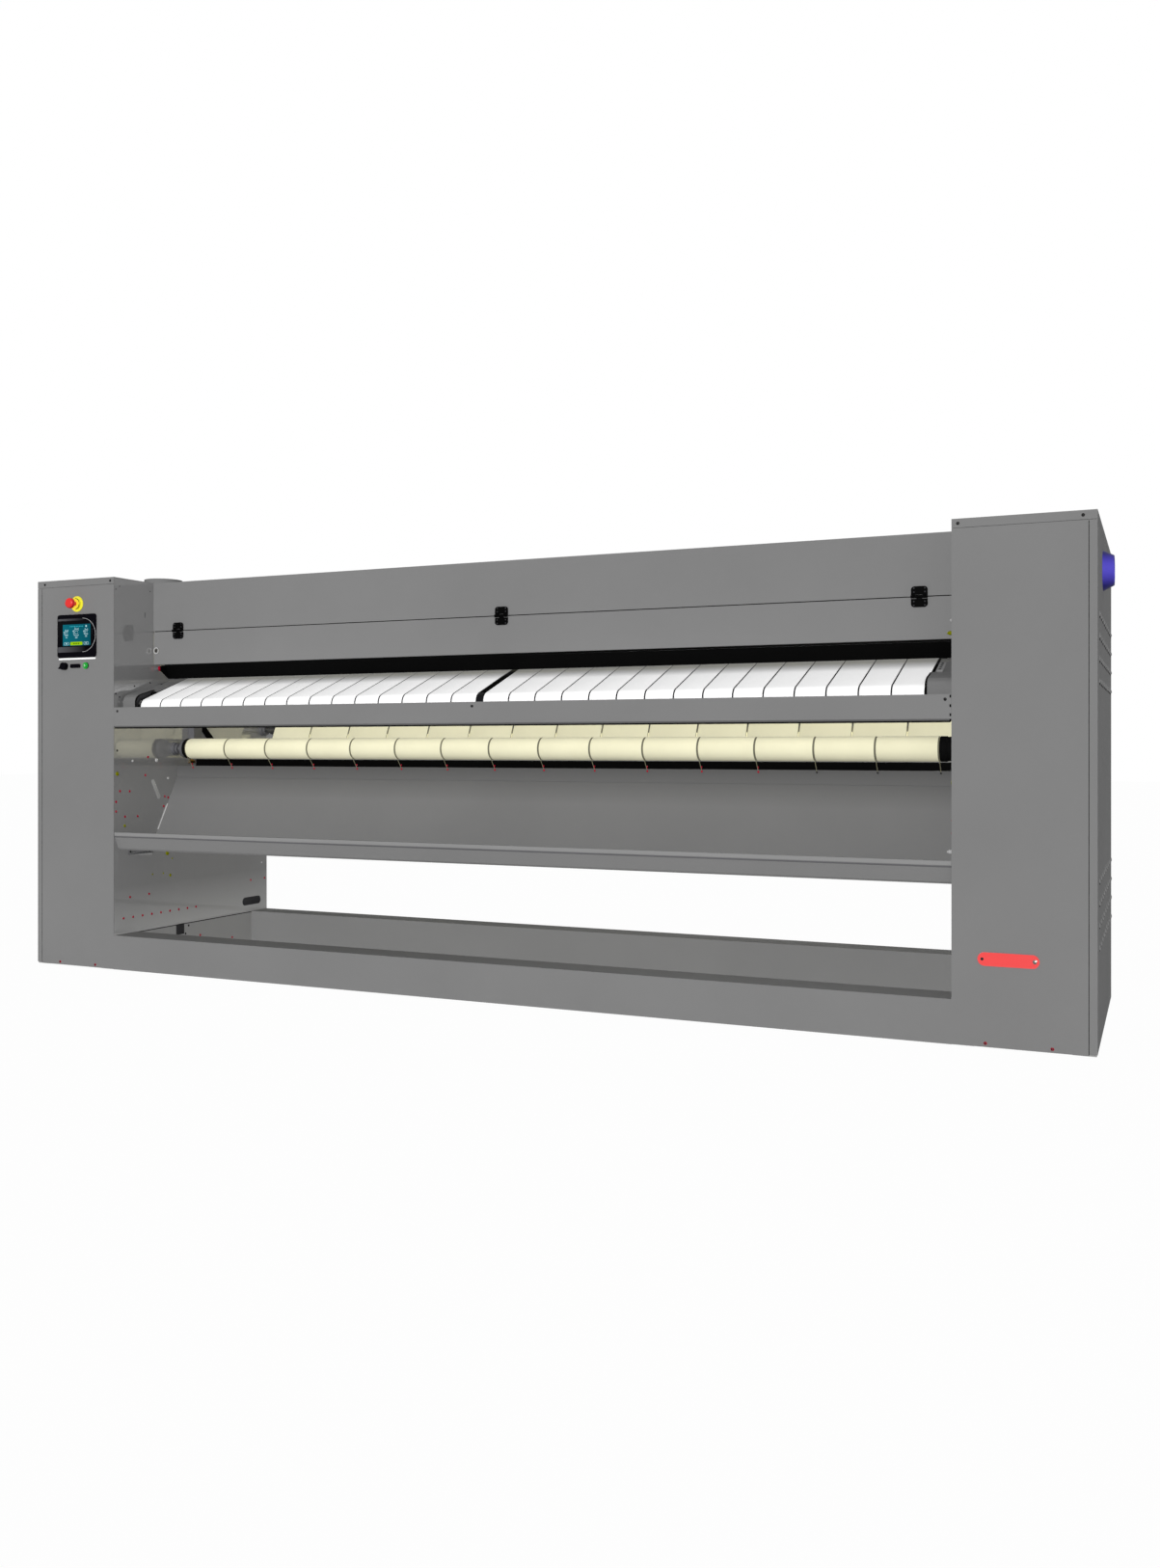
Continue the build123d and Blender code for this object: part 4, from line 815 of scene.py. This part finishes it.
hooks = {"depth": 335, "height": axisHeight - 412, "rivet": axisHeight - 427, "rivetDepth": 339, "wire": 0.7,
         "blackCount": 3,
         "rivetHead": [(3.2, -0.3), (3.2, 0.6), (2.2, 1.6), (0, 2.0)],
         "ball": [(1.4, -2.4), (2.5, -1.2), (2.8, 0), (2.5, 1.2), (1.4, 2.4), (0, 2.8)]}
hookPlaces = -beltEnd + np.arange(beltPlan["wideCount"] + 1) * widePitch
rivet = turned(hooks["rivetHead"], (0, hooks["rivetDepth"], hooks["rivet"]), (0, -1, 0.07), 14)
wirePath = [(0, 338.4, hooks["rivet"]), (0, 337, hooks["rivet"] + 6), (0, hooks["depth"], hooks["height"])]
wire = rod(wirePath, hooks["wire"], (1, 0, 0), 8)
ball = turned(hooks["ball"], (0, hooks["depth"], hooks["height"]), toFront, 14)
redCount = len(hookPlaces) - hooks["blackCount"]
for finish, places in (("redNylon", hookPlaces[:redCount]), ("blackZinc", hookPlaces[redCount:])):
    offsets = [(x, 0, 0) for x in places]
    newPiece(finish + "Hooks", [moved(part, offsets) for part in (wire, ball, rivet)], finish, "hook_red",
             replaces=["cord_hooks"])

# ---- end covers of the feed table ----

endCover = {"x": wallX - 72, "level": axisHeight - 199, "bandDrop": (0.9, -2.4), "band": 2.2, "flange": 2,
            "line": [(128, 67), (114, 64), (90, 57.5), (66, 51), (49, 45), (38, 36), (33, 24), (33, -19)],
            "cheekDrop": (2, -4), "cheekFoot": (118, -19), "cheekHole": 0.62, "cheek": 2}
coverLine = np.array(endCover["line"]) + (0, endCover["level"])
bandLine = coverLine[::-1] + endCover["bandDrop"]
edgeBand = folded(bandLine, endCover["band"], (endCover["x"] - 6, endCover["x"] + 0.5))
newPiece("coverEdgeBand", both(edgeBand), "blackRubber")
cheek = np.vstack([coverLine[1:] + endCover["cheekDrop"],
                   [(endCover["cheekFoot"][0], endCover["level"] + endCover["cheekFoot"][1])]])
shaftAt = np.array(rollerAt["feed_front_roller"][:2])
cheekRing = frameBand("leftWall", cheek, shaftAt + endCover["cheekHole"] * (cheek - shaftAt),
                      wallX - endCover["x"] - 3, endCover["cheek"])
newPiece("coverCheeks", both(cheekRing), "darkSteel", "roller_steel")

coverPlate = {"size": (19, 80), "along": 37, "rise": 3, "sunk": 1.5, "holes": (-27, -9, 9, 27), "inset": 52,
              "slopeTrim": 0.0235, "hole": [(4.4, 0), (4.0, 0.6), (0, 0.6)]}
shaftRun = np.subtract(rollerAt["feed_rear_roller"][:2], rollerAt["feed_front_roller"][:2])
slope = math.atan2(shaftRun[1], shaftRun[0]) - coverPlate["slopeTrim"]
planes["rightCover"] = ((wallX - coverPlate["inset"], 128, endCover["level"] + 69.5), (1, 0, 0),
                        (0, math.cos(slope), math.sin(slope)), (0, -math.sin(slope), math.cos(slope)))
outline = roundedOutline(*coverPlate["size"], 5, (0, coverPlate["along"]), 5)
sunk = coverPlate["sunk"]
newPiece("coverPlate", [plate("rightCover", outline, -sunk, coverPlate["rise"] + sunk, 1.2)], "hemPaint")
holePlaces = [onPlane("rightCover", np.array(0.0), np.array(coverPlate["along"] + v),
                      np.array(float(coverPlate["rise"]))) for v in coverPlate["holes"]]
holes = [turned(coverPlate["hole"], place, planes["rightCover"][3], 14) for place in holePlaces]
newPiece("coverPlateScrews", holes, "blackZinc", "screw_red")
newPiece("coverFlangeRight", [folded(bandLine, endCover["flange"], (wallX - 22, wallX - 1))], "trayPaint")
print("end covers ready")

# ---- seals and painted shade: the seam strip and the sheet behind the return roller ----

seal = {"seamDepths": (210, 222), "seamHeight": axisHeight + 94.4, "seam": 2.3, "seamInset": 6,
        "guardDepth": 242, "guardHeights": (axisHeight - 35, axisHeight - 28), "guard": 3, "guardInset": 27}
# A black strip behind the hood and flap seam: painted shade, so the seam's gap shows dark
seamLine = [(depth, seal["seamHeight"]) for depth in seal["seamDepths"]]
seamEnd = wallX - seal["seamInset"]
newPiece("seamShadeStrip", [folded(seamLine, seal["seam"], (-seamEnd, seamEnd))], "blackRubber")
guardLine = [(seal["guardDepth"], height) for height in seal["guardHeights"]]
guardEnd = wallX - seal["guardInset"]
newPiece("guardSeal", [folded(guardLine, seal["guard"], (-guardEnd, guardEnd))], "blackRubber",
         body="finger_guard")
# A black sheet behind the return roller: painted shade, where the machine's inside shows dark below the
# roller
shadeSheet = {"depth": 452, "low": axisHeight - 480, "high": axisHeight - 397.5, "fold": 18, "sheet": 2,
          "gap": 0.5}
shadeSheetLine = [(shadeSheet["depth"], shadeSheet["low"]), (shadeSheet["depth"], shadeSheet["high"]),
              (shadeSheet["depth"] + shadeSheet["fold"], shadeSheet["high"])]
shadeSheetEnd = wallX - shadeSheet["gap"]
newPiece("innerShadeSheet", [folded(shadeSheetLine, shadeSheet["sheet"], (-shadeSheetEnd, shadeSheetEnd))], "blackPaint")

# ---- what stands on the inner walls ----

slotBlank = {"length": 84, "width": 17, "tilt": -62, "place": (222, axisHeight - 508.5)}
tilt = math.radians(slotBlank["tilt"])
spin = np.array([[math.cos(tilt), math.sin(tilt)], [-math.sin(tilt), math.cos(tilt)]])
blank = roundedOutline(slotBlank["length"], slotBlank["width"], 8.4, (0, 0), 8) @ spin + slotBlank["place"]
newPiece("wallSlotBlank", [plate("leftWall", blank, -2.9, 2.2, 0.4)], "palePaint")

longBlank = {"size": (122, 33), "corner": 16.2, "place": (801.5, 169), "base": -2.9, "rise": 2.2, "steps": 8}
squareBlank = {"size": (46, 42), "corner": 2, "place": (358.5, 103.5), "base": -2.2, "rise": 2.6, "steps": 3}
blanks = []
for shape in (longBlank, squareBlank):
    outline = roundedOutline(*shape["size"], shape["corner"], shape["place"], shape["steps"])
    blanks.append(plate("leftWall", outline, shape["base"], shape["rise"], 0.4))
newPiece("wallBlanks", blanks, "shadePaint")
slit = {"size": (2.4, 20), "place": (162, 1323)}
outline = roundedOutline(*slit["size"], 1, slit["place"], 3)
newPiece("wallSlit", [plate("leftWall", outline, -0.3, 0.5, 0.1)], "blackZinc", "black_plastic")

foot = {"near": -1, "far": 903, "margin": 6,
        "bands": {"wallFoot": (124.5, 4.5, "palePaint"), "wallFootGap": (120.5, 3, "blackZinc")}}
for name, (low, tall, finish) in foot["bands"].items():
    outline = roundedOutline(foot["far"] - foot["near"] - foot["margin"], tall, 0.6,
                             ((foot["near"] + foot["far"]) / 2, low + tall / 2), 2)
    newPiece(name, both(plate("leftWall", outline, -0.3, 1.3, 0.3)), finish, "wall_steel")

hanger = {"outline": [(75.5, 417), (198, 408), (198, 430), (75.5, 439)], "screws": [(83, 429), (185, 424.5)],
          "rise": 3, "screwRadius": 4.4, "screwRise": 2.2}
newPiece("troughHanger", [plate("leftWall", np.array(hanger["outline"]), -0.5, hanger["rise"] + 0.5, 0.6)],
         "palePaint")
heads = screwsOn("leftWall", hanger["screws"], hanger["screwRadius"], hanger["screwRise"], hanger["rise"])
newPiece("troughHangerScrews", [heads], "blackZinc", "screw_red")
clip = {"outline": [(404, 757), (440, 757), (440, 768), (416, 773)], "rise": 7.5}
newPiece("cordClip", [plate("leftWall", np.array(clip["outline"]), -0.5, clip["rise"] + 0.5, 0.6)],
         "yellowZinc")

studs = {"height": 9, "edge": 10, "tip": 14, "end": 14.5,
         "spots": [(72, 1177, "palePaint", 8), (18, 1137, "oliveZinc", 6), (14, 530, "palePaint", 6)]}
for depth, height, finish, radius in studs["spots"]:
    profile = [(radius, -0.5), (radius, studs["height"]), (radius * 0.7, studs["edge"]),
               (radius * 0.5, studs["tip"]), (0, studs["end"])]
    newPiece(f"wallStud{height}", [turned(profile, (wallX, depth, height), (-1, 0, 0), 18)], finish,
             "screw_red")

# Post and stay of the frame behind the feed table, against the left-hand wall
post = {"depth": 404, "width": 30, "length": 46, "gap": 0.5, "heights": (axisHeight - 352, axisHeight - 205)}
postLine = np.array([(post["gap"], 0), (post["width"], 0), (post["width"], post["length"]),
                     (post["gap"], post["length"])]) + (-wallX, post["depth"])
rings = np.stack([np.column_stack([postLine, np.full(4, height)]) for height in post["heights"]])
newPiece("leftPost", [ringSurface(rings)], "hubPaint")
stay = {"radius": 12, "path": [(470, -262), (500, -290), (560, -347), (590, -372)]}
barPath = [(-wallX + stay["radius"], depth, axisHeight + height) for depth, height in stay["path"]]
newPiece("leftStay", [rod(barPath, stay["radius"], (1, 0, 0), 12)], "blackPaint")
print("wall fittings ready")

# ---- seams, louvres and hems ----

coverEdge = (corner("right_front_cover")[1][0] - sizes["middle"]) / mm
coverLow, coverHigh = [end[2] / mm for end in corner("right_front_cover")]
gasket = {"width": 1.8, "out": 0.5, "margin": 4}
outline = roundedOutline(gasket["width"], coverHigh - coverLow - gasket["margin"], 0.5,
                         (coverEdge + gasket["out"], (coverLow + coverHigh) / 2), 2)
newPiece("coverGaskets", both(plate("front", outline, -1, 1.2, 0.2)), "blackRubber")

louvres = {"rows": (270, 331, 391, 452, 996, 1057, 1118, 1179), "columns": range(-4, 5), "pitch": 90,
           "middle": 485, "length": 38, "height": 6, "drop": 3.2, "lip": 1.2, "lipOut": 1.6, "lipHalf": 22,
           "lipRise": 0.6}
spots = [(0, louvres["middle"] + column * louvres["pitch"], row)
         for row in louvres["rows"] for column in louvres["columns"]]
# Dark plates under each louvre hood are painted shade in the slots
slotShadeOutline = roundedOutline(louvres["length"], louvres["height"], 2, (0, -louvres["drop"]), 3)
newPiece("louvreSlotShade", both(moved(plate("rightSide", slotShadeOutline, -0.2, 0.6, 0.2), spots)), "blackRubber")
# Pale rods at each hood's lip are painted highlights
lipPath = [(halfWidth + louvres["lipOut"], hand * louvres["lipHalf"], louvres["lipRise"]) for hand in (-1, 1)]
newPiece("louvreLipHighlights", both(moved(rod(lipPath, louvres["lip"], (1, 0, 0), 8), spots)), "palePaint")

beamLow, beamHigh = [end[2] / mm for end in corner("feed_front_beam")]
# A black strip under the feed beam: painted shadow of the beam's lower flange
beamShadowStrip = {"depth": 4, "heights": (-4, 0.5), "thickness": 3, "inset": 4}
beamShadowLine = [(beamShadowStrip["depth"], beamLow + height) for height in beamShadowStrip["heights"]]
beamShadowEnd = wallX - beamShadowStrip["inset"]
newPiece("beamShadowStrip", [folded(beamShadowLine, beamShadowStrip["thickness"], (-beamShadowEnd, beamShadowEnd))], "blackRubber")
beamClip = {"size": (4, 8), "x": wallX - 3, "rise": 1.8,
            "heights": (beamHigh - 6, beamHigh - 32, beamLow + 17, beamLow + 1)}
clips = [plate("front", roundedOutline(*beamClip["size"], 1, (beamClip["x"], height), 3), -1,
               beamClip["rise"], 0.3) for height in beamClip["heights"]]
newPiece("beamClips", clips, "blackNylon")

troughLip = corner("linen_trough")[1][2] / mm
panelHalf = (corner("linen_trough")[1][0] - sizes["middle"]) / mm
troughHem = {"width": 12, "drop": 6.5, "base": -3.6, "rise": 1.4, "shadowDrop": 16, "shadowDepth": 5.2,
             "shadow": 2.6}
# The hem's lighter grey is a painted highlight along the trough's top fold
outline = roundedOutline(2 * panelHalf - 2, troughHem["width"], 1, (0, troughLip - troughHem["drop"]), 3)
newPiece("troughHem", [plate("front", outline, troughHem["base"], troughHem["rise"], 0.6)], "hemPaint")
shadowLine = [(hand * (panelHalf - 1), troughHem["shadowDepth"], troughLip - troughHem["shadowDrop"])
              for hand in (-1, 1)]
newPiece("troughHemShadow", [rod(shadowLine, troughHem["shadow"], (0, 1, 0))], "hubPaint")

chute = {"bendDepth": 340, "bendHeight": axisHeight - 465, "run": 112, "foot": 499, "hemFrom": 0.5,
         "hemTo": 0.97, "fold": 0.9, "hem": 2.2}
foldLine = [(hand * (panelHalf - 4), chute["bendDepth"] - 0.2, chute["bendHeight"]) for hand in (-1, 1)]
newPiece("chuteFold", [rod(foldLine, chute["fold"], (0, 1, 0), 8)], "chutePaint")
# A white rod along the chute's left end by the wall: a hem, painted white as a painted highlight
hemHighlightLine = [(-panelHalf + 2, chute["bendDepth"] - chute["run"] * share - 0.4,
            chute["bendHeight"] - (chute["bendHeight"] - chute["foot"]) * share)
           for share in (chute["hemFrom"], chute["hemTo"])]
newPiece("chuteEndHemHighlight", [rod(hemHighlightLine, chute["hem"], (1, 0, 0), 8)], "whiteNylon", "wall_steel")
print("seams ready")

# ---- controls on the left cabinet ----

panel = {"x": -wallX - 178, "height": top - 212.5, "width": 190, "tall": 161, "out": 4, "line": 0.75,
         "bow": 63, "bowX": 30.5, "bowHeight": 2.4}
glass = {"x": panel["x"] - 8, "height": top - 204, "size": (171, 98), "base": 2.9, "rise": 1.5}
screen = {"x": -wallX - 177, "height": top - 209, "size": (137, 80), "base": 4.35, "out": 4.5, "rise": 0.25}
gauge = {"spots": ((-50, 7, 11), (-1, 9, 14.5), (47, 9, 11)), "arc": 1.6, "innerArc": 1.3, "inner": 0.55,
         "dots": (60, 110, 160), "dotReach": 1.25, "dot": 1.7, "barDrop": 5}
keys = {"x": (-50, 47), "low": -32, "dotAt": (47, 32), "tick": (4.2, 3.2), "ticksFrom": -31, "tickPitch": 7.6,
        "greenX": -1, "green": (60, 12.5), "markPitch": 11, "mark": (7, 3.4), "markOut": 4.7}


def arcBand(radius, width, start, end, centre, steps=20):
    # A flat arc: its outer turn from start to end and its inner turn back
    turn = np.radians(np.linspace(start, end, steps))
    ray = np.stack([np.cos(turn), np.sin(turn)], 1)
    return np.vstack([radius * ray, (radius - width) * ray[::-1]]) + centre


def onScreen(outline, rise=screen["rise"], out=screen["out"]):
    # A thin plate on the display's glass
    return plate("front", outline, out, rise, 0.08)


def screenSpot(x, height):
    return np.array([screen["x"] + x, screen["height"] + height])


half = panel["width"] / 2 - 3
turn = np.radians(np.linspace(-90, 90, 40))
bowLine = np.stack([panel["bowX"] + panel["bow"] * np.cos(turn),
                    panel["bowHeight"] + panel["bow"] * np.sin(turn)], 1)
bowLine = np.vstack([[(-half, bowLine[0][1])], bowLine, [(-half, bowLine[-1][1])]])
bowLine = bowLine + (panel["x"], panel["height"])
newPiece("bezelGradient", [plate("front", bowLine, panel["out"] - 0.1, 0.25, 0.1)], "fadedAbs")
path = onPlane("front", bowLine[1:-1, 0], bowLine[1:-1, 1], np.array(panel["out"] + 0.3))
newPiece("bezelLine", [rod(path, panel["line"], (0, 1, 0), 8)], "whiteNylon", "lock_nickel")
outline = roundedOutline(*glass["size"], 1.5, (glass["x"], glass["height"]), 4)
newPiece("screenGlass", [plate("front", outline, glass["base"], glass["rise"], 0.3)], "darkGlass")
litArea = onScreen(roundedOutline(*screen["size"], 1, screenSpot(0, 0), 3), 0.2, screen["base"])
newPiece("screenLit", [litArea], "tealDisplay")
ticks = [screenSpot(keys["ticksFrom"] + keys["tickPitch"] * i, -keys["low"]) for i in range(9)]
tickMarks = [onScreen(roundedOutline(*keys["tick"], 0.4, spot, 2)) for spot in ticks]
newPiece("screenTicks", tickMarks, "cyanDisplay")

gauges = []
for x, height, radius in gauge["spots"]:
    centre = screenSpot(x, height)
    gauges.append(onScreen(arcBand(radius, gauge["arc"], 35, 325, centre, 26)))
    gauges.append(onScreen(arcBand(radius * gauge["inner"], gauge["innerArc"], 20, 340, centre)))
    for angle in gauge["dots"]:
        ray = np.radians(angle)
        tip = centre + radius * gauge["dotReach"] * np.array([math.cos(ray), math.sin(ray)])
        gauges.append(onScreen(roundOutline(gauge["dot"], tip, 8)))
    barAt = centre + (0, -radius - gauge["barDrop"])
    gauges.append(onScreen(roundedOutline(radius * 0.8, 2.2, 0.6, barAt, 2)))
for x in keys["x"]:
    centre = screenSpot(x, keys["low"])
    outer, inner = roundedOutline(24, 10, 3, centre, 4), roundedOutline(22, 8, 2, centre, 4)
    gauges.append(frameBand("front", outer, inner, screen["out"], screen["rise"]))
    gauges.append(onScreen(roundedOutline(8, 3, 1, centre, 3)))
gauges.append(onScreen(roundOutline(3.6, screenSpot(*keys["dotAt"]), 14)))
newPiece("screenIcons", gauges, "whiteDisplay")
greenKey = onScreen(roundedOutline(*keys["green"], 3, screenSpot(keys["greenX"], keys["low"]), 4))
newPiece("screenKey", [greenKey], "limeDisplay")
markSpots = [screenSpot(keys["greenX"] + side * keys["markPitch"], keys["low"]) for side in (-1, 0, 1)]
keyMarks = [onScreen(roundedOutline(*keys["mark"], 1, spot, 3), 0.3, keys["markOut"]) for spot in markSpots]
newPiece("screenKeyMarks", keyMarks, "blackAbs", "screen_glass")

stop = {"height": top - 93, "radius": 21.5, "width": 2.0, "arcs": (-75, 20, 160), "sweep": 66, "out": 11.9}
centre = np.array([panel["x"], stop["height"]])
turns = [arcBand(stop["radius"], stop["width"], first, first + stop["sweep"], centre)
         for first in stop["arcs"]]
newPiece("stopTurnMarks", [plate("front", band, stop["out"], 0.35, 0.1) for band in turns], "blackAbs")

start = {"x": panel["x"] + 44, "height": panel["height"] - panel["tall"] / 2 - 32, "ring": (12.2, 9.3),
         "ringOut": 3.8, "lensDepth": -7, "lens": [(7.9, -0.6), (7.9, 0.3), (6.8, 1.7), (4.2, 2.6), (0, 3.0)],
         "mark": (2.6, 9), "markOut": 9.6}
outer, inner = [roundOutline(radius, (start["x"], start["height"]), 36) for radius in start["ring"]]
newPiece("startRing", [frameBand("front", outer, inner, start["ringOut"], 0.8)], "startGreen")
lens = turned(start["lens"], (start["x"], start["lensDepth"], start["height"]), toFront, 32)
newPiece("startLens", [lens], "startGreen", body="start_button")
outline = roundedOutline(*start["mark"], 1.2, (start["x"] - 0.5, start["height"]), 4)
newPiece("startMark", [plate("front", outline, start["markOut"], 0.8, 0.2)], "whiteNylon", "screen_glass",
         "start_button")
print("controls ready")

# ---- finishes of the CAD nodes ----

nodesOf = {  # finish: the CAD nodes that have it
    "wallPaint": "left_inner_wall right_inner_wall",
    "chutePaint": "chute_panel",
    "trayPaint": "feed_end_covers",
    "blackPaint": "finger_guard lower_rear_guard feed_table_plate",
    "blackNylon": "hinge_upper_leaves hinge_lower_leaves",
    "blackSteel": "hinge_pins feed_front_roller feed_rear_roller",
    "blackAbs": "control_mouldings selector_knob display_screen",
    "lightBar": "status_light_bar",
    "stopYellow": "emergency_stop_collar",
    "stopRed": "emergency_stop_button",
    "startGreen": "start_button",
    "hubPaint": "roller_bearings wall_brackets return_front_roller",
    # Painted light: the base side members get the lighter grey
    "paintedLightMemberPaint": "base_side_members",
    "polishedSteel": "heated_cylinder",
    "castIron": "cylinder_bearings",
    "galvanised": "burner_tube fan_housing fan_impeller",
    "motorEnamel": "gearmotor",
    "cottonCord": "strip_cords",
    "redPlate": "slot_cover_plate",
    "blueSpigot": "duct_spigot",
    "nickel": "flap_lock_left flap_lock_right",
}
finishOf = {node: finish for finish, names in nodesOf.items() for node in names.split()}


def finishNode(name):
    # Other rollers are turned steel, and all else is cover paint
    finish = finishOf.get(name) or ("rollerSteel" if name.endswith("_roller") else "coverPaint")
    mesh = nodes[name].data
    mesh.materials.clear()
    mesh.materials.append(materials[finish])


for nodeName, node in nodes.items():
    if not node.hide_render:
        finishNode(nodeName)
print("nodes finished:", len(nodes))
